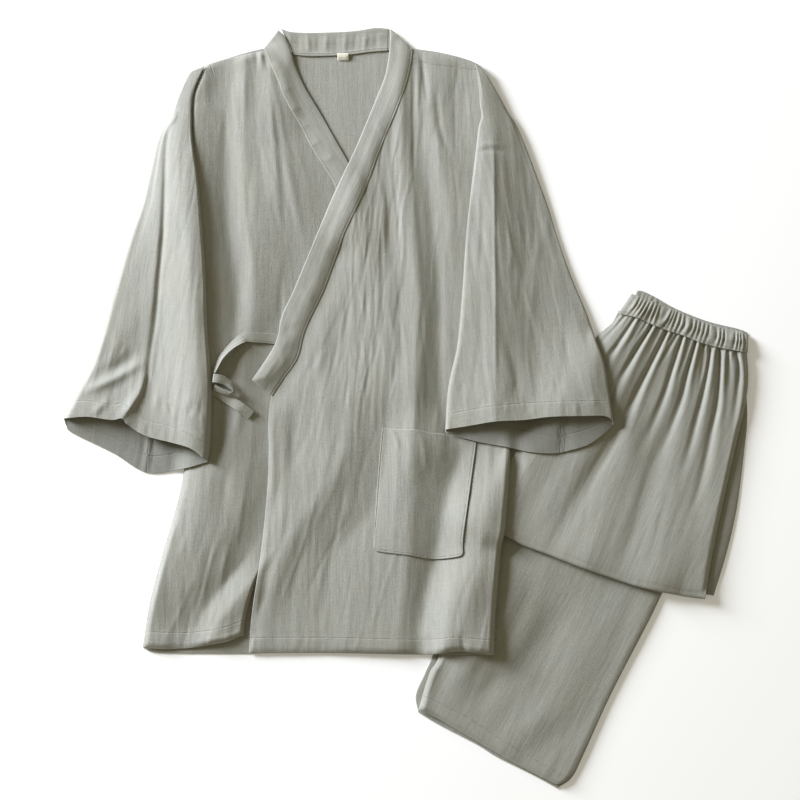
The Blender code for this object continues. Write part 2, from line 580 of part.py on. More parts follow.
def lay_sleeves(heap, sage):
    sleeve(
        heap, "sleeve_right", sage,
        armhole=line((-270, 402), (-284, 395)),
        inner=line((-270, 402), (-270, 380), (-270, 360), (-269, 336), (-262, 285), (-257, 230), (-252, 162),
                   (-250, 102), (-245, 36), (-245, -9), (-247, -50), (-250, -66)),
        outer=line((-284, 395), (-289, 382), (-296, 366), (-311, 336), (-320, 296), (-329, 256),
                   (-345, 211), (-365, 147), (-391, 62), (-411, 22), (-427, -9), (-428.75, -13)),
        cuff=line((-250, -66), (-269, -51), (-291, -44), (-326, -35), (-349, -21), (-356, -13), (-369, -15),
                  (-400, -11), (-428.75, -13)),
        cuff_back=line((-250, -68), (-280, -76), (-326, -81), (-369, -56), (-420, -31), (-427, -22)),
        arch=RIGHT_SLEEVE_ARCH,
        folds=[
            Fold(-298, 364, -322, 80, -8, 9, -5.0),
            Fold(-322, 90, -350, -14, 4, 11, -8.0),
            Fold(-280, 380, -285, 60, 6, 12, 3.0),
            Fold(-345, 180, -385, 20, 4, 16, 3.5),
            Fold(-411, 20, -340, 48, -6, 9, 4.0),
        ],
    )
    sleeve(
        heap, "sleeve_left", sage,
        armhole=line((95, 407), (107, 405)),
        inner=line((95, 407), (98, 392), (98, 378), (94, 364), (90, 350), (85, 307), (81, 274), (75, 219),
                   (70, 147), (64, 81), (56, 44), (51, 15), (48, -27)),
        outer=line((107, 405), (116, 389), (126, 370), (141, 344), (173, 260), (187, 215), (205, 164),
                   (224, 119), (236, 84), (246, 55), (252, 19), (258, -19)),
        cuff=line((48, -27), (80, -22), (110, -17), (147, -15), (181, -11), (225, -10), (246, -10), (255, -14),
                  (258, -19)),
        cuff_back=line((50, -32), (87, -42), (125, -49), (152, -55), (181, -57), (201, -54), (227, -46), (247, -32),
                       (257, -22)),
        arch=LEFT_SLEEVE_ARCH,
        folds=[
            Fold(108, 330, 110, -10, 0, 6, 3.0),
            Fold(128, 300, 150, 0, 5, 12, 3.0),
            Fold(90, 250, 84, 20, 0, 10, 2.5),
            Fold(165, 230, 205, 20, 6, 14, 3.5),
            Fold(215, 120, 232, 0, 0, 12, -3.0),
        ],
    )


def centre_on_origin():
    """Put the origin under the middle of the laid set."""
    pieces = list(bpy.data.objects)
    spots = np.array([tuple(v.co) for piece in pieces for v in piece.data.vertices])
    shift = (spots.min(axis=0) + spots.max(axis=0)) / 2
    for piece in pieces:
        for vertex in piece.data.vertices:
            vertex.co.x -= shift[0]
            vertex.co.y -= shift[1]


def build():
    clear_scene()
    sage = cloth_material("sage_double_gauze", SAGE)
    cream = cloth_material("cream_label_tape", CREAM)
    heap = Heap()
    lay_trousers(heap, sage)
    lay_jacket_body(heap, sage, cream)
    lay_trims(heap, sage)
    lay_sleeves(heap, sage)
    centre_on_origin()


build()
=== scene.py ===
from collections import namedtuple

import bpy
import numpy as np
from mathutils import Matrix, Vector


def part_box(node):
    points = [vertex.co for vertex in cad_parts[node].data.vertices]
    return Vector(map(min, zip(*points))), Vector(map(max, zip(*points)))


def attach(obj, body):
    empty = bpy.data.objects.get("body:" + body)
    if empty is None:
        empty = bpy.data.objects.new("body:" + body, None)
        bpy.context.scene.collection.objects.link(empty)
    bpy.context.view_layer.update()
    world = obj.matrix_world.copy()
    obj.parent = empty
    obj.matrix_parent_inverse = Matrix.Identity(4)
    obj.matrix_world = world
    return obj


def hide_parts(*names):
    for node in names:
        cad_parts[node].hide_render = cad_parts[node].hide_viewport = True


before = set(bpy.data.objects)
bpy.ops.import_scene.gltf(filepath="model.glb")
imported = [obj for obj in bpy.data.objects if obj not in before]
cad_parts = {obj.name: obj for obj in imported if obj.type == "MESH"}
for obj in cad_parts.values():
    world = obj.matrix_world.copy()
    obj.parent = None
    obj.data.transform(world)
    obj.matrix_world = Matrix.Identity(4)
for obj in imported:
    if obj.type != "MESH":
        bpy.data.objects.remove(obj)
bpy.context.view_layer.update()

# Outlines are in millimetres, as the solids' are. Creases and seams are in squares of a chart of the laid
# set, 1.25 mm each, counted right and down from its upper left corner.
MM = 0.001
SQUARE = 1.25
CHART_X = 407.0
CHART_Y = 408.0
RASTER = 1.6              # spacing of the height map, mm
REACH_X = 452.0
REACH_Y = 500.0
CLOTH_WALL = 1.1          # thickness of the cloth, mm
COLLAR_WALL = 1.35
TIE_WALL = 1.0
TIE_WIDTH = 13.0
LAYER_GAP = 0.35          # between a panel and what it lies on, mm
TIE_SEWN_FROM = -174.0    # east of this the collar tie lies under the collar, mm
FOLD_GAIN = 1.2           # how much stronger all the creases are than their tables
SLEEVE_GAIN = 0.9
STEEPEST_DRAPE = 0.5      # how steeply cloth comes down from what it lies on
HEM_DEPTH = 20.0          # from a hem's edge to its line of stitches, mm
HEM_RISE = 0.5
SLEEVE_STEP = 2.4         # spacing of the shown grids, mm
COARSE = 5.0
TIE_STEP = 1.2
EDGE_TURN = 0.9           # how far a sleeve's pressed edge stands out, mm
SIDE_EASE = 26.0          # how far in from its sides a panel lies close, mm
THREADS = 8400.0          # radians of the weave's waves for each metre
FAR = 50.0                # stands for no seam or painted-highlight rim near, mm
LABEL_X = -87.0           # where the neck label's left and lower edges are in the tables
LABEL_Y = 435.0

Crease = namedtuple("Crease", "path west east height")
Zone = namedtuple("Zone", "top bottom lines")
Scatter = namedtuple("Scatter", "x0 y0 x1 y1 count lean short long narrow wide height seed")
Crinkle = namedtuple("Crinkle", "across along height seed sharp")


def line(*pairs):
    return np.array(pairs, dtype=float)


def chart(*pairs):
    """Places on the chart, as places on the laid set in mm."""
    p = np.array(pairs, dtype=float)
    return np.stack([(p[:, 0] - CHART_X) * SQUARE, (CHART_Y - p[:, 1]) * SQUARE], axis=1)


def crease(west, east, height, *places):
    """A crease along places on the chart. It reaches so far to its two sides and rises so high, mm."""
    return Crease(chart(*places), west, east, height)


def unit(values):
    """Values kept from 0 to 1."""
    return np.clip(values, 0.0, 1.0)


def eased(share):
    """A share from 0 to 1 that starts and ends gently."""
    return share * share * (3 - 2 * share)


def evened(values, half):
    """A running mean over a row of values."""
    count = 2 * half + 1
    return np.convolve(np.pad(values, half, "edge"), np.ones(count) / count, "valid")


def dense_line(points):
    """A smooth curve through the points, and the distance run along it."""
    p = np.array(points, dtype=float)
    before = np.vstack([2 * p[0] - p[1], p, 2 * p[-1] - p[-2]])
    t = np.linspace(0.0, 1.0, 12, endpoint=False)[:, None]
    runs = []
    for i in range(len(p) - 1):
        a, b, c, d = before[i:i + 4]
        square, cube = (2 * a - 5 * b + 4 * c - d) * t**2, (3 * b - a - 3 * c + d) * t**3
        runs.append(0.5 * (2 * b + (c - a) * t + square + cube))
    dense = np.vstack(runs + [p[-1:]])
    along = np.concatenate([[0.0], np.cumsum(np.linalg.norm(np.diff(dense, axis=0), axis=1))])
    return dense, along


def at_shares(points, shares):
    """Points at the given shares of a curve's length."""
    dense, along = dense_line(points)
    at = shares * along[-1]
    return np.stack([np.interp(at, along, dense[:, k]) for k in range(dense.shape[1])], axis=1)


def length_of(points):
    return dense_line(points)[1][-1]


def shares_for(length, step):
    """Even steps, with closer ones at both ends so that the rim can round off."""
    close = np.array([0.0, 0.5, 1.2, 2.2])
    inner = np.linspace(close[-1], length - close[-1], max(int(round(length / step)), 2) + 1)
    return np.concatenate([close[:-1], inner, (length - close[:-1])[::-1]]) / length


def filled(top, bottom, left, right, u, v):
    """A grid of points between four edges, at the given shares across and down."""
    t, b, lf, r = at_shares(top, u), at_shares(bottom, u), at_shares(left, v), at_shares(right, v)
    u, v = u[None, :, None], v[:, None, None]
    ruled = (1 - v) * t[None] + v * b[None] + (1 - u) * lf[:, None] + u * r[:, None]
    return ruled - ((1 - u) * (1 - v) * t[0] + u * (1 - v) * t[-1] + (1 - u) * v * b[0] + u * v * b[-1])


def patch(top, bottom, left, right, step, step_along=None):
    """A panel's grid between its four edges, with steps of about the given size, mm."""
    u = shares_for(max(length_of(top), length_of(bottom)), step)
    v = shares_for(max(length_of(left), length_of(right)), step_along or step)
    return filled(top, bottom, left, right, u, v)


def strip(inner, outer, step):
    """A band's grid between its two long edges."""
    v = shares_for(max(length_of(inner), length_of(outer)), step)
    a, b = at_shares(inner, v), at_shares(outer, v)
    u = shares_for(np.linalg.norm(a - b, axis=1).max(), step)[None, :, None]
    return (1 - u) * a[:, None] + u * b[:, None]


# Folds


def along_path(plan, path):
    """Signed distance from a path (east or north of it is positive) and the distance run along it."""
    dense, run = dense_line(path)
    keep = np.unique(np.linspace(0, len(dense) - 1, max(int(run[-1] / 6.0), 6) + 1).astype(int))
    p, run = dense[keep], run[keep]
    best = np.full(plan.shape[:2], 1e9)
    signed = np.zeros(plan.shape[:2])
    along = np.zeros(plan.shape[:2])
    for i in range(len(p) - 1):
        d = p[i + 1] - p[i]
        size = np.hypot(*d)
        w = plan - p[i]
        t = (w @ d) / size**2
        held = unit(t)
        away = np.hypot(*np.moveaxis(w - held[..., None] * d, -1, 0))
        closer = away < best
        side = np.sign(d[0] * w[..., 1] - d[1] * w[..., 0] + 1e-9)
        best = np.where(closer, away, best)
        signed = np.where(closer, away * side, signed)
        along = np.where(closer, run[i] + held * size, along)
    return signed, along, run[-1]


def away_from(plan, path):
    """Distance of each grid point from a path, mm."""
    return np.abs(along_path(plan, path)[0])


def beside(plan, path, reach):
    """One on a path, fading smoothly to nothing beside it."""
    return np.exp(-((along_path(plan, path)[0] / reach) ** 2))


def near_path(plan, path, reach):
    """The part of a plan grid that lies round a path, as two slices, or nothing."""
    near = ((plan > path.min(axis=0) - reach) & (plan < path.max(axis=0) + reach)).all(axis=2)
    rows, columns = np.where(near.any(axis=1))[0], np.where(near.any(axis=0))[0]
    if not len(rows):
        return None
    return slice(rows[0], rows[-1] + 1), slice(columns[0], columns[-1] + 1)


def crease_heights(plan, creases):
    total = np.zeros(plan.shape[:2])
    for crease in creases:
        part = near_path(plan, crease.path, 3 * max(crease.west, crease.east))
        if part is None:
            continue
        signed, along, length = along_path(plan[part], crease.path)
        strength = np.sin(np.pi * (0.03 + 0.94 * along / length)) ** 0.65
        reach = np.where(signed < 0, crease.west, crease.east)
        total[part] += FOLD_GAIN * crease.height * strength * np.exp(-((signed / reach) ** 2))
    return total


def groove_heights(plan, path, depth, narrow, wide):
    """A groove below an elastic seam: narrow and deep at the seam, wider and fading down the cloth."""
    total = np.zeros(plan.shape[:2])
    part = near_path(plan, path, 24.0)
    signed, along, whole = along_path(plan[part], path)
    share = along / whole
    reach = narrow + (wide - narrow) * share
    strength = depth * (1.0 - share) ** 1.1 * unit(share / 0.04 + 0.3)
    total[part] -= strength * np.exp(-((signed / reach) ** 2))
    total[part] += 0.4 * strength * np.exp(-(((signed - 2.2 * reach) / (1.4 * reach)) ** 2))
    return total


def gather_heights(plan, start, flow, count, deep, seed):
    """Small grooves strewn along an elastic seam. Flow's rows are share of it, lean and bend, degrees."""
    rng = np.random.default_rng(seed)
    places = at_shares(start, (np.arange(count) + 0.5 + rng.uniform(-0.4, 0.4, count)) / count)
    total = np.zeros(plan.shape[:2])
    for k, share in enumerate(np.linspace(0.0, 1.0, count)):
        lean, bend = (np.interp(share, flow[:, 0], flow[:, column]) for column in (1, 2))
        lean = lean + rng.normal(0.0, 4.0)
        length = rng.uniform(22.0, 80.0)
        angle = np.radians(lean + bend * np.linspace(0.0, 1.0, 5))
        steps = np.stack([-np.sin(angle), -np.cos(angle)], axis=1) * (length / 4.0)
        path = places[k] + np.vstack([[0.0, 0.0], np.cumsum(steps[:-1], axis=0)]) + [0.0, 4.0]
        total += groove_heights(plan, path, deep * rng.uniform(0.4, 1.0), 1.3, 2.8)
    return total


def tape(*points):
    """One line of a folded panel: its places on the chart and its height there, mm."""
    p = np.array(points, dtype=float)
    return np.column_stack([chart(*p[:, :2]), p[:, 2]])


def zone_heights(plan, zones, gain):
    """Long leaning faces: heights are straight between lines, which are listed from west to east."""
    total = np.zeros(plan.shape[:2])
    weight = np.zeros(plan.shape[:2])
    chart_y = CHART_Y - plan[..., 1] / SQUARE
    for zone in zones:
        share = unit((chart_y - zone.top) / 40.0 + 0.5) * unit((zone.bottom - chart_y) / 40.0 + 0.5)
        share = eased(share) + 1e-6
        xs, zs = [], []
        for places in zone.lines:
            places = places[np.argsort(places[:, 1])]
            xs.append(np.interp(plan[..., 1], places[:, 1], places[:, 0]))
            zs.append(np.interp(plan[..., 1], places[:, 1], places[:, 2]))
        height = zs[0]
        for k in range(len(xs) - 1):
            s = (plan[..., 0] - xs[k]) / np.maximum(xs[k + 1] - xs[k], 1e-3)
            height = np.where(s > 0, zs[k] + (zs[k + 1] - zs[k]) * unit(s), height)
        total += share * height
        weight += share
    return gain * total / weight


def softened(plan, heights, across, along):
    """Rounds the edges between faces over the given distances, mm."""
    for axis, reach in ((1, across), (0, along)):
        size = np.linalg.norm(np.diff(plan, axis=axis), axis=2)
        step = np.median(size)
        taps = np.arange(-int(2.5 * reach / step) - 1, int(2.5 * reach / step) + 2)
        weights = np.exp(-0.5 * (taps * step / reach) ** 2)
        weights /= weights.sum()
        pad = [(0, 0), (0, 0)]
        pad[axis] = (len(taps) // 2, len(taps) // 2)
        padded = np.pad(heights, pad, "edge")
        n = heights.shape[axis]
        heights = sum(w * np.take(padded, np.arange(k, k + n), axis) for k, w in enumerate(weights))
    return heights


def scattered(*rows):
    """Short uneven creases strewn over parts of a panel. Sizes are in mm and places on the chart."""
    found = []
    for s in map(Scatter._make, rows):
        rng = np.random.default_rng(s.seed)
        for _ in range(s.count):
            x, y = rng.uniform(s.x0, s.x1), rng.uniform(s.y0, s.y1)
            length = rng.uniform(s.short, s.long) / SQUARE
            lean = np.radians(s.lean + rng.normal(0.0, 6.0))
            bow = rng.normal(0.0, 0.03) * length
            dx, dy = -np.sin(lean) * length / 2, np.cos(lean) * length / 2
            width = rng.uniform(s.narrow, s.wide)
            height = s.height * rng.uniform(0.35, 1.0) * rng.choice((-1.0, 1.0))
            places = (x - dx, y - dy), (x + bow, y), (x + dx, y + dy)
            found.append(crease(width, width * rng.uniform(0.8, 2.0), height, *places))
    return found


def value_noise(x, y, seed):
    """Smooth random values from -1 to 1 on an even lattice."""
    rng = np.random.default_rng(seed)
    lattice = rng.uniform(-1.0, 1.0, (64, 64))
    i, j = np.floor(x).astype(int), np.floor(y).astype(int)
    u, v = eased(x - i), eased(y - j)
    a, b = lattice[j % 64, i % 64], lattice[j % 64, (i + 1) % 64]
    c, d = lattice[(j + 1) % 64, i % 64], lattice[(j + 1) % 64, (i + 1) % 64]
    return (a * (1 - u) + b * u) * (1 - v) + (c * (1 - u) + d * u) * v


def crinkle_heights(cloth, crinkles):
    """Fine uneven creases that run along the cloth's length."""
    total = np.zeros(cloth.shape[:2])
    across, along = cloth[..., 0], cloth[..., 1]
    for c in crinkles:
        wander = 0.9 * value_noise(across / (3 * c.across), along / (0.7 * c.along), c.seed + 7)
        value = value_noise(across / c.across + wander, along / c.along + 0.35 * across / c.across, c.seed)
        if c.sharp:
            value = 1 - 2 * np.abs(value) ** 0.8
        total += c.height * value * (0.55 + 0.45 * value_noise(across / 60.0, along / 110.0, c.seed + 3))
    return total


def soft_floor(height, rounding):
    """Heights kept over nothing, with a rounded foot."""
    return 0.5 * (height + np.sqrt(height**2 + rounding**2))


# The heap that the cloth is laid on


def spread_max(surface, cells):
    """The highest value within so many cells."""
    for _ in range(cells):
        wide = np.maximum(surface, np.maximum(np.roll(surface, 1, 0), np.roll(surface, -1, 0)))
        surface = np.maximum(wide, np.maximum(np.roll(wide, 1, 1), np.roll(wide, -1, 1)))
    return surface


def blurred(surface, reach):
    """A height map smoothed over the given number of cells."""
    taps = np.arange(-3 * reach, 3 * reach + 1)
    weights = np.exp(-0.5 * (taps / reach) ** 2)
    weights /= weights.sum()
    for axis in (0, 1):
        surface = sum(w * np.roll(surface, int(k), axis) for k, w in zip(taps, weights))
    return surface


class Heap:
    """A height map of everything laid so far."""

    def __init__(self):
        self.columns = int(2 * REACH_X / RASTER) + 1
        self.rows = int(2 * REACH_Y / RASTER) + 1
        self.top = np.zeros((self.rows, self.columns))

    def aside(self):
        """The heap as it is now, for small pieces that nothing else lies on."""
        other = Heap()
        other.top = self.top.copy()
        return other

    def place(self, plan):
        column = np.clip((plan[..., 0] + REACH_X) / RASTER, 0, self.columns - 1.001)
        row = np.clip((plan[..., 1] + REACH_Y) / RASTER, 0, self.rows - 1.001)
        return column, row

    def at(self, surface, plan):
        column, row = self.place(plan)
        c, r = column.astype(int), row.astype(int)
        u, v = column - c, row - r
        south = (1 - v) * ((1 - u) * surface[r, c] + u * surface[r, c + 1])
        return south + v * ((1 - u) * surface[r + 1, c] + u * surface[r + 1, c + 1])

    def rest(self, reach=3):
        """A smooth surface just over the heap, sloping gently down to the table round it."""
        surface = self.top
        for axis in (0, 1):
            fall = STEEPEST_DRAPE * RASTER * np.arange(surface.shape[axis])
            fall = fall[:, None] if axis == 0 else fall[None, :]
            forward = np.maximum.accumulate(surface + fall, axis=axis) - fall
            backward = np.flip(np.maximum.accumulate(np.flip(surface - fall, axis), axis=axis), axis) + fall
            surface = np.maximum(forward, backward)
        surface = blurred(surface, reach)
        wide = max(reach, 2)
        for again in range(4):
            surface = surface + blurred(spread_max(self.short_of(surface), wide), wide)
        return np.maximum(surface + spread_max(self.short_of(surface), 1), 0.0)

    def short_of(self, surface):
        return np.maximum(self.top + LAYER_GAP - surface, 0.0) * (self.top > 1e-6)

    def lay(self, plan, raised, wall, reach=3):
        under = self.at(self.rest(reach), plan) + raised
        self.add(plan, under + wall)
        return under

    def add(self, plan, heights):
        grid = skin(plan, heights)
        for axis in (0, 1):
            coarse = np.moveaxis(grid, axis, 0)
            grid = np.empty((2 * len(coarse) - 1, *coarse.shape[1:]))
            grid[::2], grid[1::2] = coarse, (coarse[1:] + coarse[:-1]) / 2
            grid = np.moveaxis(grid, 0, axis)
        column, row = self.place(grid[..., :2])
        layer = np.zeros_like(self.top)
        np.maximum.at(layer, (row.round().astype(int), column.round().astype(int)), grid[..., 2])
        self.top = np.maximum(self.top, spread_max(layer, 1))


# Meshes


def skin(plan, heights):
    """Points in space over a plan grid."""
    return np.concatenate([plan, heights[..., None]], axis=2)


def wall_faces(rows, columns):
    """The faces of two grids of points, one over the other, and of the rim that joins them."""
    top = np.arange(rows * columns).reshape(rows, columns)
    above = np.concatenate([top[0], top[1:, -1], top[-1, -2::-1], top[-2:0:-1, 0]])
    beneath = above + rows * columns
    side = np.stack([above, np.roll(above, -1), np.roll(beneath, -1), beneath], axis=1)
    return np.concatenate([quads(top), quads(top + rows * columns)[:, ::-1], side])


def quads(index):
    """The four-sided faces of a grid of points."""
    a, b, c, d = index[:-1, :-1], index[:-1, 1:], index[1:, 1:], index[1:, :-1]
    return np.stack([a, d, c, b], axis=-1).reshape(-1, 4)


def two_skins(name, upper, lower, faces, material, cloth, rim, seam, run, inside=(0.0, 0.0)):
    """A mesh of two skins of equal grids. Both carry the same cloth coordinates and fields."""
    vertices = np.concatenate([upper.reshape(-1, 3), lower.reshape(-1, 3)])
    mesh = bpy.data.meshes.new(name)
    mesh.vertices.add(len(vertices))
    mesh.vertices.foreach_set("co", ((vertices + SHIFT) * MM).astype(np.float32).ravel())
    mesh.loops.add(faces.size)
    mesh.loops.foreach_set("vertex_index", faces.ravel().astype(np.int32))
    mesh.polygons.add(len(faces))
    mesh.polygons.foreach_set("loop_start", (np.arange(len(faces)) * 4).astype(np.int32))
    mesh.update(calc_edges=True)
    mesh.polygons.foreach_set("use_smooth", np.ones(len(faces), dtype=bool))
    cloth = np.tile(cloth.reshape(-1, 2), (2, 1)) * MM
    mesh.uv_layers.new(name="cloth").uv.foreach_set("vector", cloth[faces.ravel()].astype(np.float32).ravel())
    # The rim field sets a painted highlight along the edges, and the inside field a painted shade on inner
    # skins.
    fields = {"rim": rim, "seam": seam, "seam_run": run}
    fields = {key: np.tile(values.ravel(), 2) for key, values in fields.items()}
    fields["inside"] = np.repeat(inside, len(vertices) // 2)
    for key, values in fields.items():
        mesh.attributes.new(key, "FLOAT", "POINT").data.foreach_set("value", values.astype(np.float32))
    mesh.materials.append(material)
    mesh.validate()
    piece = bpy.data.objects.new(name, mesh)
    bpy.context.scene.collection.objects.link(piece)
    return piece


def seam_fields(plan, seams):
    """The nearest seam's signed distance at each point, and how far along it that is."""
    nearest = np.full(plan.shape[:2], FAR)
    run = np.zeros(plan.shape[:2])
    for path in seams:
        signed, along, length = along_path(plan, path)
        closer = np.abs(signed) < np.abs(nearest)
        nearest = np.where(closer, signed, nearest)
        run = np.where(closer, along, run)
    return nearest, run


def wall_piece(name, plan, under, wall, material, cloth, seams=(), round_rim=True, painted_highlight_distance=None):
    """A closed wall between two skins with a rounded rim."""
    rim = edge_share(plan)
    ease = np.ones(plan.shape[:2])
    if round_rim:
        # The two skins close in on each other over the last millimetre.
        ease = 0.25 + 0.75 * np.sqrt(unit(1 - (1 - unit(rim / 1.1)) ** 2))
    middle, half = under + wall / 2, wall / 2 * ease
    seam, run = seam_fields(plan, seams)
    faces = wall_faces(*plan.shape[:2])
    # The rim field, or the given distance, sets where the material paints a highlight along the edges.
    return two_skins(name, skin(plan, middle + half), skin(plan, middle - half), faces, material, cloth,
                     rim if painted_highlight_distance is None else painted_highlight_distance, seam, run)


def runs_of(plan):
    """The distance run down each column and across each row of a grid, mm."""
    down = np.cumsum(np.linalg.norm(np.diff(plan, axis=0), axis=2), axis=0)
    across = np.cumsum(np.linalg.norm(np.diff(plan, axis=1), axis=2), axis=1)
    return np.pad(down, ((1, 0), (0, 0))), np.pad(across, ((0, 0), (1, 0)))


def edge_share(plan):
    """Distance of each grid point from the nearest edge of the grid, mm."""
    down, across = runs_of(plan)
    return np.min([down, down[-1:] - down, across, across[:, -1:] - across], axis=0)


def grain(plan, degrees=0.0):
    """Cloth coordinates of a plan grid whose warp threads lean by the given angle."""
    a = np.radians(degrees)
    return np.stack([plan[..., 0] * np.cos(a) + plan[..., 1] * np.sin(a),
                     -plan[..., 0] * np.sin(a) + plan[..., 1] * np.cos(a)], axis=2)


def grain_along(plan):
    """Cloth coordinates that follow the grid's own rows and columns."""
    down, across = runs_of(plan)
    return np.stack([across - across[:, -1:] / 2, -down], axis=2)


def declare(piece, node):
    """Ties a piece to the root body and hides the solid of its node."""
    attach(piece, "root")
    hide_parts(node)


def stiff_across(under):
    """A band too stiff to sag across its width: every row is a straight line just over what lies under it."""
    rows, columns = under.shape
    u = np.linspace(-0.5, 0.5, columns)[None, :]
    slope = (under * u).sum(axis=1, keepdims=True) / (u * u).sum()
    straight = under.mean(axis=1, keepdims=True) + slope * u
    for again in range(3):
        short = np.maximum(under - straight, 0.0).max(axis=1)
        short = evened(np.max([np.pad(short, 5, "edge")[k:k + rows] for k in range(11)], axis=0), 4)
        straight = straight + short[:, None]
        straight = np.stack([evened(straight[:, j], 4) for j in range(columns)], axis=1)
    return np.maximum(straight, under)


def panel(heap, node, plan, creases, crinkles, material, wall=CLOTH_WALL, loft=0.0, cloth=None,
          seams=(), extra=0.0, reach=3, zones=(), gain=1.0, flat_by=(), free=(),
          stiff=None, ramp=12.0, crisp=False):
    """One panel laid on the heap.

    Extra is a raised form of its own. Flat_by lists paths and the distances over which the cloth is flat
    beside them, free the edges along which a highlight is painted, stiff the sewn side of a band that stays
    straight across, and ramp how far in from the rim the raised forms grow. Crisp sides lie close on the
    heap.
    """
    cloth = grain(plan) if cloth is None else cloth
    raised = crease_heights(plan, creases) + crinkle_heights(cloth, crinkles) + loft
    if zones:
        raised = raised + softened(plan, zone_heights(plan, zones, gain), 3.2, 6.0)
    rim = edge_share(plan)
    raised = soft_floor(raised + extra, 0.5) * (0.35 + 0.65 * unit(rim / ramp))
    for path, distance in flat_by:
        raised = raised * eased(unit(away_from(plan, path) / distance))
    under = heap.at(heap.rest(reach), plan)
    if crisp:
        inward = unit(rim / SIDE_EASE) ** 1.5
        under = under * inward + heap.at(heap.rest(1), plan) * (1 - inward)
    if stiff is not None:
        seam_side = away_from(plan, stiff)
        under = under + (stiff_across(under) - under) * unit(seam_side / SIDE_EASE)
        raised = raised - 0.3 * np.exp(-((seam_side / 3.0) ** 2))
    under = under + raised
    heap.add(plan, under + wall)
    # Distance from the free edges; the material paints a highlight along them.
    painted_highlight_distance = np.min([away_from(plan, path) for path in free] + [np.full(plan.shape[:2], FAR)], axis=0)
    piece = wall_piece("cloth_" + node, plan, under, wall, material, cloth, seams, painted_highlight_distance=painted_highlight_distance)
    declare(piece, node)


def hem(plan, edge, depth=HEM_DEPTH):
    """The turned-up hem lifts the cloth along an edge, up to its line of stitches."""
    past = away_from(plan, edge) - depth
    pull = 0.25 * value_noise(plan[..., 0] / 9.0, plan[..., 1] / 30.0, 21)
    return HEM_RISE / (1 + np.exp(np.clip(past / 0.8, -40.0, 40.0))) + pull * np.exp(-((past / 5.0) ** 2))


# Materials


class Nodes:
    """Short ways to build a material's nodes. A value may be a number or another node's socket."""

    def __init__(self, material):
        self.tree = material.node_tree

    def add(self, kind, **settings):
        node = self.tree.nodes.new(kind)
        for key, value in settings.items():
            setattr(node, key, value)
        return node

    def feed(self, node, **values):
        for key, value in values.items():
            socket = node.inputs[int(key[1:])] if key[0] == "_" else node.inputs[key.replace("_", " ")]
            if isinstance(value, bpy.types.NodeSocket):
                self.tree.links.new(value, socket)
            else:
                socket.default_value = value
        return node

    def field(self, name):
        return self.add("ShaderNodeAttribute", attribute_name=name).outputs["Fac"]

    def math(self, operation, a, b=0.0):
        return self.feed(self.add("ShaderNodeMath", operation=operation), _0=a, _1=b).outputs[0]

    def weighted(self, *parts):
        """The sum of values, each times its weight."""
        whole = 0.0
        for value, weight in parts:
            whole = self.math("ADD", whole, self.math("MULTIPLY", value, weight))
        return whole

    def noise(self, vector, scale, detail=2.0, rough=0.5):
        mapped = self.feed(self.add("ShaderNodeMapping"), Vector=vector, Scale=scale).outputs[0]
        node = self.add("ShaderNodeTexNoise")
        return self.feed(node, Vector=mapped, Scale=1.0, Detail=detail, Roughness=rough).outputs["Fac"]

    def ranged(self, value, low, high, to_low, to_high):
        node = self.add("ShaderNodeMapRange")
        self.feed(node, Value=value, From_Min=low, From_Max=high, To_Min=to_low, To_Max=to_high)
        return node.outputs[0]

    def mix(self, share, a, b):
        return self.feed(self.add("ShaderNodeMix", data_type="RGBA"), _0=share, _6=a, _7=b).outputs[2]


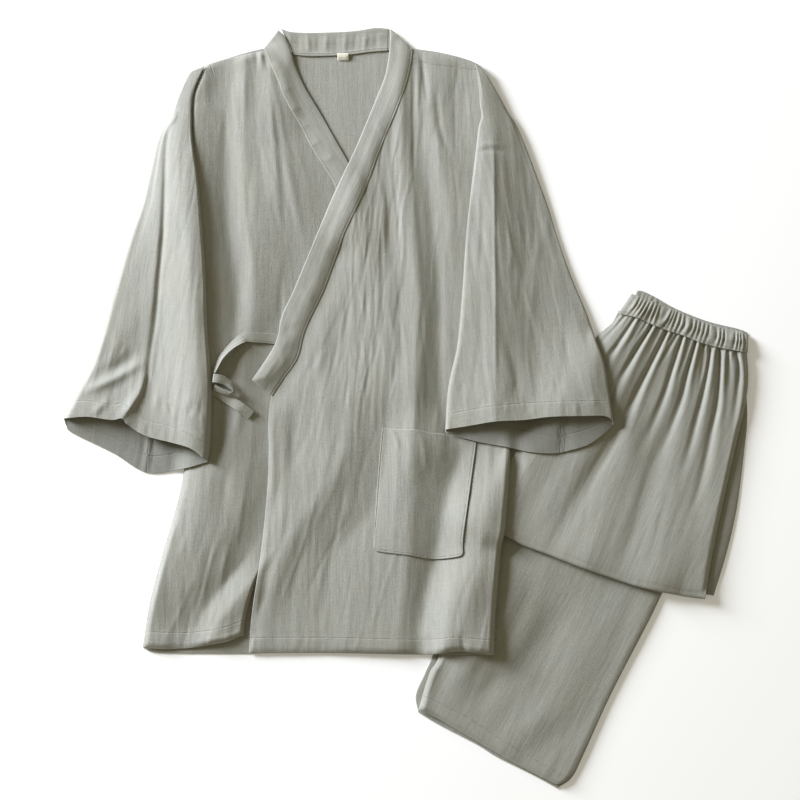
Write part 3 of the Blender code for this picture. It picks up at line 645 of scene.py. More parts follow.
def gauze(name, colour, sheen=0.35, crinkle=1.0):
    """Double gauze: a soft plain weave with thick and thin threads, a matt face and a pale sheen."""
    material = bpy.data.materials.new(name)
    material.use_nodes = True
    n = Nodes(material)
    shader = material.node_tree.nodes["Principled BSDF"]
    uv = n.add("ShaderNodeUVMap", uv_map="cloth").outputs[0]
    seam, run = n.math("ABSOLUTE", n.field("seam")), n.field("seam_run")

    def shade(*factors, most=1.0):
        return tuple(min(c * f, most) for c, f in zip(colour, factors * 3)) + (1.0,)

    slubs = n.noise(uv, (420.0, 46.0, 1.0), 3.0, 0.6)
    picks = n.noise(uv, (60.0, 480.0, 1.0), 2.0, 0.55)
    mottle = n.noise(uv, (22.0, 12.0, 1.0), 3.0, 0.6)
    speckle = n.noise(uv, (620.0, 520.0, 1.0), 2.0, 0.7)
    fine = n.noise(uv, (150.0, 14.0, 1.0))
    split = n.feed(n.add("ShaderNodeSeparateXYZ"), Vector=uv)
    warp, weft = (n.math("SINE", n.math("MULTIPLY", split.outputs[k], THREADS)) for k in (0, 1))

    tone = n.math("ADD", n.ranged(slubs, 0.3, 0.7, -0.5, 0.5), n.ranged(picks, 0.3, 0.7, -0.22, 0.22))
    tone = n.math("ADD", tone, n.ranged(speckle, 0.3, 0.7, -0.35, 0.35))
    base = n.mix(n.ranged(tone, -0.8, 0.8, 0.0, 1.0), shade(0.88), shade(1.12))
    base = n.mix(n.ranged(mottle, 0.35, 0.7, 0.0, 0.35), base, shade(1.05, 0.99, 0.9))

    stitch = n.math("SINE", n.math("MULTIPLY", run, 2.4))
    broken = n.noise(n.feed(n.add("ShaderNodeCombineXYZ"), X=run).outputs[0], (0.11, 1.0, 1.0), 1.0)
    groove = n.math("MULTIPLY", n.ranged(seam, 0.25, 1.1, 1.0, 0.0), n.ranged(broken, 0.36, 0.58, 0.25, 1.0))
    thread = n.math("MULTIPLY", groove, n.ranged(stitch, -0.2, 0.5, 0.25, 1.0))
    base = n.mix(n.math("MULTIPLY", thread, 0.2), base, shade(0.42))
    # Painted shade: faces marked inside (the sleeves' inner skins) are darkened halfway towards 0.45 of the
    # cloth colour.
    base = n.mix(n.math("MULTIPLY", n.field("inside"), 0.5), base, shade(0.45))
    # Painted highlight: the colour is lightened towards 1.5 times, by up to 22%, within about 1.4 mm of each
    # rim given in the rim field.
    base = n.mix(n.ranged(n.field("rim"), 0.2, 1.4, 0.22, 0.0), base, shade(1.5, most=0.8))

    height = n.weighted((slubs, 0.24), (picks, 0.2), (n.math("MULTIPLY", warp, weft), 0.05), (speckle, 0.24),
                        (fine, 0.42 * crinkle), (groove, -0.4))
    bump = n.feed(n.add("ShaderNodeBump"), Height=height, Strength=0.9, Distance=0.0011)
    n.feed(shader, Base_Color=base, Roughness=0.93, Sheen_Weight=sheen, Sheen_Roughness=0.45,
           Sheen_Tint=(0.93, 0.97, 1.0, 1.0), Normal=bump.outputs[0])
    shader.inputs["Specular IOR Level"].default_value = 0.18
    return material


# The set

shown_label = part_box("neck_label")[0]
SHIFT = np.array([shown_label[0] / MM - LABEL_X, shown_label[1] / MM - LABEL_Y, 0.0])

SAGE = gauze("sage_gauze_look", (0.344, 0.345, 0.310))
INNER = gauze("sage_gauze_inner_look", (0.344, 0.345, 0.310), sheen=0.3)
TAPE = gauze("cream_tape_look", (0.74, 0.71, 0.6), crinkle=0.2)

BODY_LEFT = line((-270, 420), (-277, 408), (-271, 388), (-274, 260), (-275, 135), (-276, 10), (-279, -76),
    (-291, -132), (-302, -169), (-321, -240), (-331, -300))
BODY_RIGHT = line((97, 421), (103, 409), (101, 388), (110, 260), (122, 135), (130, 10), (130, -50),
    (124, -141), (118, -181), (111, -261), (109, -309))
WAIST_SEAM = line((264, 118), (287, 113), (303, 106), (325, 97), (347, 90), (366, 82), (392, 75), (426, 69))
COLLAR_OUTER = line((5, 451), (7, 444), (2, 415), (-9, 383), (-21, 354), (-36, 317), (-52, 274), (-77, 221),
    (-88, 190), (-104, 147), (-121, 112), (-129, 92), (-137, 62), (-155, 36), (-169, 15))
VERTICAL = (Crinkle(9.0, 75.0, 0.34, 3, False), Crinkle(5.5, 60.0, 0.1, 11, True),
    Crinkle(32.0, 170.0, 1.5, 5, False))
QUIET = (Crinkle(11.0, 80.0, 0.35, 31, False), Crinkle(30.0, 160.0, 0.7, 37, False))


def inset(points, by):
    """The same line, moved east, mm."""
    return points + [by, 0.0]


def lay_lower_leg(heap):
    leg_left = line((100, -140), (60, -240), (40, -310), (28, -332), (14, -378))
    leg_right = line((366, -150), (322, -226), (302, -266), (254, -359), (219, -436), (205, -462),
        (190, -471))
    back_left = line((98, -140), (58, -240), (32, -310), (22, -333), (11, -359), (14, -381))
    back_right = line((368, -150), (323, -226), (303, -266), (255, -359), (220, -436), (206, -463),
        (188, -476))
    hidden_end = line((100, -140), (190, -122), (280, -128), (366, -150))
    back_hem = line((14, -381), (39, -396), (87, -421), (111, -436), (159, -460), (188, -476))
    front_hem = line((14, -378), (39, -389), (70, -407), (111, -431), (135, -445), (182, -469), (190, -471))
    plan = patch(hidden_end, back_hem, back_left, back_right, COARSE)
    thinned = unit(0.15 + away_from(plan, hidden_end) / 90.0)
    panel(heap, "trouser_leg_back", plan, [], QUIET, SAGE, wall=1.5 * thinned, loft=0.6,
        cloth=grain(plan, -28.0), extra=hem(plan, back_hem), free=[back_hem], flat_by=[(hidden_end, 90.0)])
    plan = patch(hidden_end, front_hem, leg_left, leg_right, 2.8)
    creases = [
        crease(16, 20, -2.4, (560, 606), (536, 646), (500, 682), (470, 704)),
        crease(14, 12, 2.0, (524, 576), (508, 610), (480, 650), (452, 684)),
        crease(16, 22, 1.2, (600, 610), (580, 650), (556, 700), (530, 735)),
        crease(10, 12, -1.2, (450, 650), (440, 680), (428, 712)),
    ]
    seams = [chart((429, 698), (470, 719), (510, 745), (549, 768), (556, 772))]
    thinned = unit(0.15 + away_from(plan, hidden_end) / 90.0)
    falling = 1.6 + 6.0 * unit(1 - away_from(plan, leg_left) / 170.0)
    panel(heap, "trouser_leg_front", plan, creases, QUIET, SAGE, loft=falling,
        wall=CLOTH_WALL * thinned, flat_by=[(hidden_end, 90.0)], ramp=6.0, cloth=grain(plan, -28.0),
        seams=seams, extra=hem(plan, front_hem, 17.0), free=[front_hem])


def lay_folded_stack(heap):
    waist = line((266, 114), (303, 106), (347, 90), (392, 76), (420, 71))
    fold_edge = line((78, -134), (124, -153), (179, -177), (220, -193), (292, -217), (344, -229), (384, -235))
    stack_left = line((266, 114), (238, 88), (169, 0), (132, -48), (100, -92), (78, -134))
    stack_right = line((420, 71), (425, 16), (426, -15), (423, -47), (413, -125), (400, -182), (384, -235))
    plan = patch(waist, fold_edge, stack_left, stack_right, COARSE)
    turned = 1 / (1 + np.exp((plan[..., 1] + 0.35 * plan[..., 0] + 50.0) / 60.0))
    thick = (2.4 + 4.4 * turned) * (0.35 + 0.65 * unit(edge_share(plan) / 7.0) ** 0.6)
    under = heap.lay(plan, 0.0, thick)
    piece = wall_piece("cloth_trouser_folded_layers", plan, under, thick, INNER, grain(plan, -20.0))
    declare(piece, "trouser_folded_layers")


def lay_upper_leg(heap):
    waist_line = line((265, 122), (287, 118), (303, 110), (347, 94), (392, 80), (425, 73))
    fold_line = line((75, -137), (124, -157), (147, -169), (179, -181), (220, -197), (261, -211), (292, -221),
        (344, -232), (373, -236))
    top_left = line((265, 122), (255, 104), (237, 89), (210, 50), (176, 0), (141, -49), (110, -92),
        (75, -137))
    top_right = line((425, 73), (427, 35), (422, -3), (415, -31), (394, -125), (381, -187), (373, -236))
    plan = patch(waist_line, fold_line, top_left, top_right, 2.2)
    gathers = [
        crease(16, 16, 1.6, (640, 360), (590, 440), (552, 500), (524, 540)),
        crease(16, 14, 1.8, (650, 400), (620, 470), (592, 540), (580, 575)),
        crease(10, 12, -1.6, (640, 380), (600, 460), (566, 520), (548, 560)),
        crease(16, 18, 0.8, (690, 420), (672, 500), (656, 560), (650, 590)),
        crease(10, 12, -1.6, (672, 400), (650, 480), (628, 550), (618, 580)),
        crease(10, 9, 0.5, (724, 420), (714, 500), (700, 580)),
        crease(8, 8, -2.4, (508, 440), (517, 462), (514, 490)),
    ]
    flow = line((0.0, 38.0, 8.0), (0.3, 33.0, 4.0), (0.55, 22.0, -2.0), (0.8, 8.0, 2.0), (1.0, -10.0, 14.0))
    fan = gather_heights(plan, WAIST_SEAM, flow, 22, 2.2, 811)
    bold = (
        (((637, 314), (622, 338), (604, 364), (590, 386)), 5.2, 5.0),
        (((654, 322), (632, 358), (611, 397), (594, 430)), 5.8, 6.0),
        (((669, 328), (642, 382), (621, 427), (598, 468), (580, 505)), 6.4, 7.5),
        (((684, 332), (673, 366), (664, 396), (650, 430), (634, 462)), 5.6, 6.0),
        (((697, 338), (688, 370), (681, 400), (668, 436), (652, 474)), 6.0, 6.0),
        (((705, 342), (702, 368), (699, 398)), 3.2, 4.0),
        (((711, 346), (705, 385), (697, 418), (689, 450), (676, 492)), 6.0, 6.0),
        (((720, 347), (718, 395), (712, 430), (702, 476), (690, 520)), 6.0, 6.0),
        (((736, 350), (739, 372), (736, 404), (730, 440)), 4.0, 5.0),
        (((728, 350), (729, 372), (728, 392)), 2.6, 3.2),
    )
    for places, depth, wide in bold:
        fan = fan + groove_heights(plan, chart(*places), depth, 1.7, wide)
    folded = 2.2 * beside(plan, fold_line, 16.0)
    cloth = grain(plan, -22.0)
    near_waist = beside(plan, WAIST_SEAM, 190.0)
    from_jacket = unit(away_from(plan, top_left) / 22.0)
    loft = 1.4 + 2.0 * near_waist * from_jacket
    loft = loft + 3.0 * beside(plan, top_left, 70.0) * from_jacket
    loft = loft + 2.0 * unit(1 - away_from(plan, top_right) / 70.0)
    raised = soft_floor(
        crease_heights(plan, gathers) + crinkle_heights(cloth, VERTICAL) + fan + loft + folded, 0.6)
    near_side = unit(edge_share(plan) / 5.0)
    near_fold = beside(plan, fold_line, 10.0)
    raised = raised * (0.3 + 0.7 * np.maximum(near_side, near_fold))
    laid_before = heap.top.copy()
    under = heap.lay(plan, raised, CLOTH_WALL, 8)
    # The cloth rounds the cross fold and goes down its side to just above the lower leg.
    edge = np.concatenate([plan[-1], under[-1][:, None]], axis=1)
    ahead = np.gradient(edge[:, :2], axis=0)
    out = np.stack([ahead[:, 1], -ahead[:, 0]], axis=1)
    out /= np.linalg.norm(out, axis=1)[:, None]
    low = np.max([heap.at(laid_before, edge[:, :2] + out * reach) for reach in (1.0, 3.0, 5.0)], axis=0)
    low = evened(low, 6) + 1.0
    plans, heights = [plan], [under]
    for turn in np.radians(np.linspace(15.0, 180.0, 12)):
        drop = edge[:, 2] - low
        plans.append((edge[:, :2] + out * (3.4 * np.sin(turn) ** 0.9))[None])
        heights.append((low + drop * (0.5 + 0.5 * np.cos(turn)))[None])
    plan_all, under_all = np.concatenate(plans), np.concatenate(heights)
    cloth = np.concatenate([cloth] + [cloth[-1:] - [0.0, 1.2 * (k + 1)] for k in range(12)])
    piece = wall_piece("cloth_trouser_leg_upper", plan_all, under_all, CLOTH_WALL, SAGE, cloth,
        round_rim=False)
    declare(piece, "trouser_leg_upper")


def ruches(plan, count, height, seed):
    """Uneven small pleats across a band that elastic draws in."""
    rows, columns = plan.shape[:2]
    along, u = np.meshgrid(np.linspace(0.0, count, rows), np.linspace(0.0, 1.0, columns), indexing="ij")
    drift = 0.9 * value_noise(along / 1.7, 0.4 * u, seed + 1) + 0.25 * value_noise(along / 2.0, 2.0 * u, seed)
    wave = 0.5 + 0.5 * np.cos(2 * np.pi * (along + drift))
    size = 0.7 + 0.3 * value_noise(along / 1.3, 1.5 * u, seed + 2)
    return height * (wave**0.62) * size * np.sin(np.pi * (0.12 + 0.76 * u)) ** 0.7


def lay_waistband(heap):
    back_top = line((288, 147), (296, 146), (312, 138), (335, 125), (375, 109), (415, 99), (426, 94))
    back_bottom = line((280, 128), (303, 118), (335, 105), (375, 92), (426, 80))
    plan = strip(back_top, back_bottom, 1.6)
    panel(heap, "waistband_back", plan, [], (), SAGE, cloth=grain_along(plan),
        extra=ruches(plan, 24, 2.6, 41))
    front_top = line((281, 143), (302, 136), (319, 128), (340, 121), (360, 112), (389, 102), (415, 96),
        (427, 91))
    plan = strip(front_top, WAIST_SEAM, 1.2)
    stitched = chart((624, 311.5), (649, 320), (667, 327), (685, 333), (700, 339.5), (721, 344.6), (747, 350))
    wall = CLOTH_WALL * (0.25 + 0.75 * unit(away_from(plan, WAIST_SEAM) / 5.0))
    panel(heap, "waistband_front", plan, [], (), SAGE, cloth=grain_along(plan),
        wall=wall, extra=ruches(plan, 25, 5.0, 45), seams=[stitched])


def lay_jacket_back(heap):
    shoulders = line((-270, 420), (-247, 431), (-180, 450), (-152, 447), (-122, 441), (-87, 441), (-49, 445),
        (-15, 449), (5, 450), (59, 441), (97, 421))
    back_hem = line((-331, -300), (-316, -306), (-279, -307), (-199, -307), (-97, -304), (30, -306),
        (109, -307))
    plan = patch(shoulders, back_hem, BODY_LEFT, BODY_RIGHT, COARSE)
    panel(heap, "jacket_back", plan, [], QUIET, INNER,
        loft=0.5, extra=hem(plan, back_hem),
        free=[back_hem])


def lay_under_front(heap):
    front_top = line((-269, 419), (-247, 430), (-215, 439), (-176, 448))
    wrap_edge = line((-176, 448), (-157, 427), (-144, 392), (-120, 346), (-94, 307), (-69, 254), (-54, 210),
        (-30, 135), (-12, 60), (-15, 16), (-40, -27), (-84, -90), (-134, -140), (-165, -175), (-185, -209),
        (-200, -254), (-204, -284))
    front_hem = line((-329, -299), (-304, -301), (-271, -300), (-246, -296), (-224, -292), (-204, -284))
    plan = patch(front_top, front_hem, inset(BODY_LEFT, 1.0), wrap_edge, 1.8, 3.4)
    upper_lines = (
        tape((198, 60, 0.8), (198, 90, 2.4), (198, 110, 5.4), (199, 150, 8), (201, 190, 9.5),
            (202, 230, 10.5), (205, 270, 11), (208, 310, 10), (212, 350, 9), (214, 390, 8.5), (214, 430, 5),
            (212, 460, 2)),
        tape((232, 60, 0), (229, 90, 0), (226, 115, 0), (226, 150, 0), (225, 190, 0), (227, 230, 0),
            (235, 270, 0), (236, 310, 0), (232, 345, 2.6), (230, 375, 4), (226, 400, 3.4), (217, 430, 0),
            (210, 460, 1)),
        tape((244, 60, 3.4), (244, 90, 4.2), (245, 115, 4), (245, 150, 4.6), (246, 190, 6.5), (248, 230, 8),
            (253, 270, 7.4), (252, 310, 6), (246, 345, 5), (244, 375, 4.8), (242, 400, 4.4), (234, 430, 5.4),
            (228, 460, 5.5)),
        tape((257, 60, 1.6), (258, 90, 2.2), (259, 115, 2.6), (260, 150, 3.6), (264, 190, 5.4), (264, 230, 6),
            (266, 270, 5.4), (266, 310, 3.8), (257, 345, 2), (257, 375, 1.8), (258, 400, 1.6),
            (254, 430, 3.4), (250, 460, 3)),
        tape((268, 60, 3.6), (269, 90, 4.4), (270, 115, 4.6), (276, 150, 5.2), (284, 190, 5), (290, 230, 3.4),
            (289, 270, 1.6), (281, 310, 0.2), (266, 345, 0), (264, 375, 0.4), (266, 400, 0), (266, 430, 1),
            (264, 460, 0.5)),
        tape((282, 60, 4), (284, 90, 5.2), (292, 115, 6), (302, 150, 6.2), (310, 190, 4.4), (312, 230, 2),
            (308, 270, 0.6), (300, 310, 0), (300, 460, 0)),
        tape((320, 60, 0), (325, 115, 0), (340, 150, 0), (350, 190, 0), (350, 230, 0), (345, 270, 0),
            (335, 310, 0), (320, 460, 0)),
    )
    lower_lines = (
        tape((182, 460, 2.5), (178, 500, 4), (172, 530, 6.5), (166, 550, 7.5), (156, 590, 7), (148, 620, 4.5),
            (143, 655, 3)),
        tape((200, 460, 6), (192, 500, 8), (187, 550, 8.6), (182, 590, 5.8), (172, 620, 2.8),
            (160, 655, 2.8)),
        tape((216, 460, 7), (208, 490, 8), (204, 520, 8.4), (201, 550, 8.4), (196, 580, 6.4), (186, 600, 4),
            (180, 625, 1.5), (170, 655, 1)),
        tape((246, 460, 5), (242, 500, 5.6), (239, 530, 5.6), (227, 556, 4.6), (210, 583, 3.4),
            (194, 608, 1.8), (182, 640, 0.7), (176, 655, 0.6)),
        tape((272, 460, 0), (268, 500, 0), (264, 530, 0), (248, 556, 0), (222, 586, 0), (201, 615, 0),
            (184, 655, 0.5)),
        tape((286, 460, 1), (280, 520, 2), (266, 556, 4), (248, 586, 7), (224, 615, 7.6), (206, 655, 7)),
        tape((300, 460, 1), (290, 520, 2), (282, 560, 4), (262, 590, 5.6), (246, 625, 4), (240, 655, 3)),
    )
    creases = [
        crease(3.5, 5, 0.8, (266, 60), (272, 110), (275, 170), (277, 230)),
        crease(3.5, 4.5, 0.8, (270, 66), (281, 120), (290, 180), (300, 240)),
        crease(3, 4, -0.7, (267, 70), (276, 120), (282, 180), (286, 240)),
        crease(3.0, 3.0, -1.1, (256, 44), (257, 60), (258, 74)),
        crease(2.6, 3.0, 1.1, (261, 44), (260.5, 58), (259, 72)),
        crease(2.6, 3.0, -1.4, (264, 46), (265, 58), (268, 70)),
        crease(6, 5, 1.6, (238, 388), (239, 415), (236, 432)),
        crease(1.6, 16, 2.6, (210, 58), (204.6, 72), (200.6, 82), (197.2, 91), (195.4, 101)),
        crease(8, 8, 1.2, (244, 636), (232, 640), (216, 645)),
    ]
    creases += scattered(
        (200, 70, 290, 330, 46, 0, 60, 190, 1.8, 3.8, 0.32, 401),
        (266, 70, 320, 230, 26, -14, 40, 120, 1.4, 2.6, 0.34, 402),
        (170, 470, 260, 640, 40, 12, 40, 150, 1.8, 4.2, 0.32, 403),
    )
    seams = [chart((144, 632), (190, 633), (222, 628), (240, 622)), chart((209, 60), (211.5, 68), (214, 76))]
    panel(heap, "jacket_front_right", plan, creases, VERTICAL, SAGE, loft=0.8,
        seams=seams, extra=hem(plan, front_hem),
        zones=(Zone(-40, 455, upper_lines), Zone(455, 720, lower_lines)), gain=1.05, ramp=5.0, crisp=True,
        flat_by=[(wrap_edge[3:14], 70.0)], free=[front_hem, wrap_edge[14:]],
        wall=CLOTH_WALL * np.clip(0.2 + away_from(plan, wrap_edge[:14]) / 24.0, 0.2, 1.0))


def lay_collar_back(heap):
    back_top = line((-158, 475), (-145, 471), (-120, 470), (-81, 471), (-59, 473), (-40, 476), (-23, 475))
    back_seam = line((-142, 442), (-122, 440), (-87, 441), (-71, 442), (-49, 445), (-24, 447))
    plan = strip(back_top, back_seam, 1.8)
    puckers = [
        crease(2.6, 3.0, h, (x, 30), (x + lean, 42), (x + 1.5 * lean, 54))
        for x, lean, h in (
            (289, 1, 0.9), (298, 0, -0.6), (307, 1, 0.8), (318, 0, -0.6), (327, -1, 0.8), (336, 0, -0.5),
            (346, -1, 0.8), (356, -1, -0.6), (366, -1, 0.9), (376, 0, -0.6))
    ]
    panel(heap, "collar_back", plan, puckers, (Crinkle(14.0, 40.0, 0.4, 51, False),), SAGE,
        wall=COLLAR_WALL, loft=0.8, cloth=grain_along(plan), reach=2, free=[back_top],
        seams=[chart((292, 51.5), (309, 52.7), (337, 52), (350, 51), (368, 48.6), (389, 47))])
    label = patch(line((-87, 444), (-73, 444)), line((-87, 435), (-73, 435)), line((-87, 444), (-87, 435)),
        line((-73, 444), (-73, 435)), 0.8)
    panel(heap, "neck_label", label, [], (Crinkle(6.0, 9.0, 0.12, 61, False),), TAPE,
        wall=0.7, loft=0.2, reach=1)

def lay_under_collar(heap):
    neck_in = line((-161, 473), (-153, 464), (-144, 443), (-139, 427), (-126, 399), (-107, 367), (-89, 335),
        (-73, 307), (-59, 275), (-44, 229), (-18, 154), (1, 72), (6, 29))
    neck_out = line((-179, 450), (-174, 437), (-162, 410), (-153, 387), (-132, 350), (-119, 325), (-98, 292),
        (-91, 279), (-80, 245), (-69, 204), (-44, 135), (-28, 66), (-19, 20))
    plan = strip(neck_in, neck_out, 2.0)
    diagonal = [
        crease(3.6, 4.4, h, (x - 8, y + 3), (x, y), (x + 8, y - 4))
        for x, y, h in (
            (273, 68, 0.5), (278, 80, -0.5), (283, 91, 0.7), (288, 101, -0.6), (292, 110, 0.8),
            (298, 118, -0.7),
            (302, 127, 0.8), (308, 136, -0.6), (313, 144, 0.7), (320, 151, -0.6), (326, 160, 0.6))
    ]
    wall = 1.5 * (0.16 + 0.84 * unit(away_from(plan, neck_out) / 15.0))
    panel(heap, "collar_right", plan, diagonal, (Crinkle(12.0, 36.0, 0.5, 53, False),), SAGE,
        wall=wall, loft=0.1, cloth=grain_along(plan), reach=2, free=[neck_in],
        stiff=neck_out, seams=[inset(neck_out, 2.2)])


def lay_over_front(heap):
    over_top = line((-8, 455), (5, 450), (31, 445), (59, 441), (86, 432), (97, 421))
    over_edge = line((-8, 455), (-9, 432), (-21, 390), (-42, 341), (-69, 280), (-92, 225), (-122, 150),
        (-142, 102), (-152, 70), (-165, 36), (-173, -10), (-173, -54), (-175, -106), (-183, -182),
        (-194, -257), (-198, -307))
    over_hem = line((-198, -307), (-97, -307), (-9, -309), (30, -309), (62, -305), (94, -308), (108, -310))
    plan = patch(over_top, over_hem, over_edge, inset(BODY_RIGHT, -1.0), 1.75, 3.6)
    upper_lines = (
        tape((370, 60, 1), (372, 150, 1), (350, 190, 2), (340, 230, 3.5), (330, 270, 1.8), (318, 310, 1.6),
            (300, 350, 1), (266, 400, 1.6)),
        tape((384, 60, 1), (388, 150, 0.2), (386, 190, 1), (372, 230, 3), (350, 270, 1.8), (344, 310, 0.8),
            (334, 350, 0.2), (304, 400, 0.8)),
        tape((395, 60, 1.2), (394, 150, 0.8), (394, 190, 1.2), (392, 230, 1), (390, 270, 1.6),
            (366, 310, 2.2), (366, 350, 3), (356, 400, 6.5)),
        tape((402, 60, 3), (402, 150, 3.6), (402, 190, 3.8), (402, 230, 4.4), (402, 270, 3.6),
            (400, 310, 2.6), (402, 350, 3.4), (390, 400, 4)),
        tape((406, 60, 2), (406, 110, 2.6), (407, 150, 3.2), (411, 190, 4.4), (414, 230, 5.8),
            (417, 270, 7.4), (419, 310, 8), (418, 350, 9), (415, 400, 10.4)),
        tape((420, 60, 0.6), (420, 110, 1), (422, 150, 0.4), (429, 190, 0.1), (433, 230, 0), (436, 270, 0),
            (438, 310, 0), (438, 350, 0.4), (440, 400, 0.6)),
        tape((432, 60, 1.4), (430, 110, 3.2), (438, 150, 4.6), (446, 190, 4.4), (450, 230, 4.4),
            (447, 270, 2.6), (447, 310, 2.4), (446, 350, 2.8), (448, 400, 2.4)),
        tape((452, 60, 0.2), (454, 110, 0.6), (458, 150, 2.6), (466, 190, 2.6), (474, 230, 4), (466, 270, 3),
            (458, 310, 2.4), (456, 350, 2.4), (460, 400, 2.6)),
        tape((478, 60, 2), (480, 110, 3), (486, 150, 3.4), (488, 190, 3), (488, 400, 3)),
    )
    lower_lines = (
        tape((262, 400, 2), (262, 450, 4.6), (262, 480, 5.2), (260, 510, 3.4), (260, 530, 2.2), (258, 550, 3),
            (254, 600, 3.4), (246, 655, 2.4)),
        tape((302, 400, 0.4), (292, 450, 0), (282, 480, 1.6), (272, 505, 1.4), (267, 530, 2.4), (264, 560, 3),
            (261, 600, 2.4), (253, 655, 1.6)),
        tape((356, 400, 6), (346, 450, 8), (332, 480, 8.6), (310, 510, 9.4), (288, 545, 8), (274, 575, 5.4),
            (268, 600, 3.6), (260, 655, 2.2)),
        tape((390, 400, 3.6), (386, 450, 4), (382, 480, 3.2), (372, 510, 2.8), (336, 550, 1.4), (322, 600, 1),
            (305, 640, 0.6), (300, 655, 0.6)),
        tape((396, 400, 5), (396, 450, 7.4), (392, 480, 6.6), (386, 520, 6), (372, 560, 6), (360, 600, 4.6),
            (350, 655, 3.6)),
        tape((415, 400, 10.4), (413, 450, 13.4), (411, 480, 11), (409, 520, 10), (407, 560, 8.8),
            (404, 600, 8), (398, 655, 6)),
        tape((428, 400, 5), (430, 450, 8.8), (423, 480, 7), (420, 520, 6.2), (418, 560, 5.2), (412, 600, 5.2),
            (408, 655, 4)),
        tape((441, 400, 0.6), (462, 450, 0), (450, 480, 0), (443, 520, 0), (434, 560, 0), (424, 600, 0),
            (418, 655, 0)),
        tape((454, 400, 2.5), (476, 450, 2.6), (468, 480, 4.4), (464, 520, 6), (456, 560, 7), (450, 600, 8.4),
            (446, 655, 7)),
        tape((500, 400, 3), (506, 450, 4), (504, 480, 5), (500, 520, 6.6), (494, 560, 10), (492, 600, 9),
            (494, 655, 7)),
    )
    creases = [
        crease(2.4, 3.5, -0.9, (413, 62), (413, 110), (414, 180)),
        crease(3, 4, 0.9, (418, 62), (418, 90), (420, 130)),
        crease(2.5, 3.5, -1.1, (421, 56), (424, 78), (427, 100)),
        crease(4, 4, -1.2, (436, 90), (440, 128), (448, 150)),
        crease(4, 6, -0.5, (318, 330), (312, 360), (300, 392)),
        crease(5, 5, 0.4, (327, 330), (320, 360), (314, 390)),
        crease(3, 4, -1.2, (461, 636), (463, 646), (466, 658)),
        crease(4, 6, 0.8, (286, 420), (284, 470), (282, 530)),
    ]
    creases += scattered(
        (345, 120, 410, 260, 44, 3, 40, 130, 1.5, 2.8, 0.34, 501),
        (345, 210, 404, 400, 70, 4, 45, 150, 1.3, 2.4, 0.38, 502),
        (300, 240, 345, 440, 14, 14, 50, 150, 2.0, 4.0, 0.34, 506),
        (410, 70, 480, 420, 40, 1, 50, 170, 1.8, 3.6, 0.3, 503),
        (270, 400, 400, 640, 40, 12, 50, 180, 1.8, 4.4, 0.34, 504),
        (400, 430, 500, 650, 40, 4, 40, 150, 1.8, 4.0, 0.3, 505),
    )
    over_seams = [
        chart((252, 638), (330, 638), (400, 639.5), (431, 639.5), (457, 637), (492, 640)),
        chart((413, 60), (430, 64), (445, 66), (476, 70)),
        chart((476, 64), (484, 85), (488, 105), (489.5, 125), (491.8, 149)),
    ]
    chart_x, chart_y = plan[..., 0] / SQUARE + CHART_X, CHART_Y - plan[..., 1] / SQUARE
    crumpled = 0.2 + 0.8 * np.exp(-(((chart_x - 376) / 30) ** 2)) / (1 + np.exp((chart_y - 410) / 25))
    sharp = crumpled * crinkle_heights(plan, (Crinkle(7.0, 70.0, 0.5, 71, True),))
    shoulder = 0.6 * beside(plan, chart((413, 56), (445, 62), (476, 67)), 4.0)
    beside_collar = COLLAR_OUTER[8:]
    thinned = CLOTH_WALL * np.clip(0.3 + away_from(plan, beside_collar) / 24.0, 0.3, 1.0)
    panel(heap, "jacket_front_left", plan, creases, VERTICAL, SAGE,
        loft=0.8, seams=over_seams,
        zones=(Zone(-40, 410, upper_lines), Zone(410, 720, lower_lines)), gain=0.95, reach=9, ramp=5.0,
        crisp=True, flat_by=[(beside_collar, 30.0)], wall=thinned, free=[over_hem],
        extra=sharp + hem(plan, over_hem) + shoulder)


def lay_pocket(heap):
    pocket_top = line((-31, -24), (-20, -26), (11, -27), (30, -31), (51, -33), (87, -43))
    pocket_bottom = line((-42, -175), (-38, -179), (-17, -182), (2, -184), (30, -189), (50, -188), (66, -185),
        (70, -181))
    pocket_left = line((-31, -24), (-35, -66), (-40, -134), (-42, -175))
    pocket_right = line((87, -43), (80, -92), (74, -134), (70, -165), (70, -181))
    plan = patch(pocket_top, pocket_bottom, pocket_left, pocket_right, 1.8)
    creases = [
        crease(3, 4, 1.3, (390, 428), (396, 438), (399, 450)),
        crease(4, 4, -1.2, (396, 432), (404, 444), (402, 470)),
        crease(4, 5, 0.9, (420, 432), (424, 446), (426, 470)),
        crease(5, 7, 0.8, (398, 450), (396, 500), (394, 550)),
    ]
    seams = [
        np.vstack(
            [pocket_left[:-1] + [2.2, 0.0], pocket_bottom + [0.0, 2.2], pocket_right[::-1][1:] - [2.2, 0.0]]),
    ]
    panel(heap, "pocket", plan, creases, (Crinkle(8.0, 60.0, 0.3, 81, False),), SAGE,
        wall=0.9, loft=0.1, seams=seams, reach=2, free=[pocket_top])


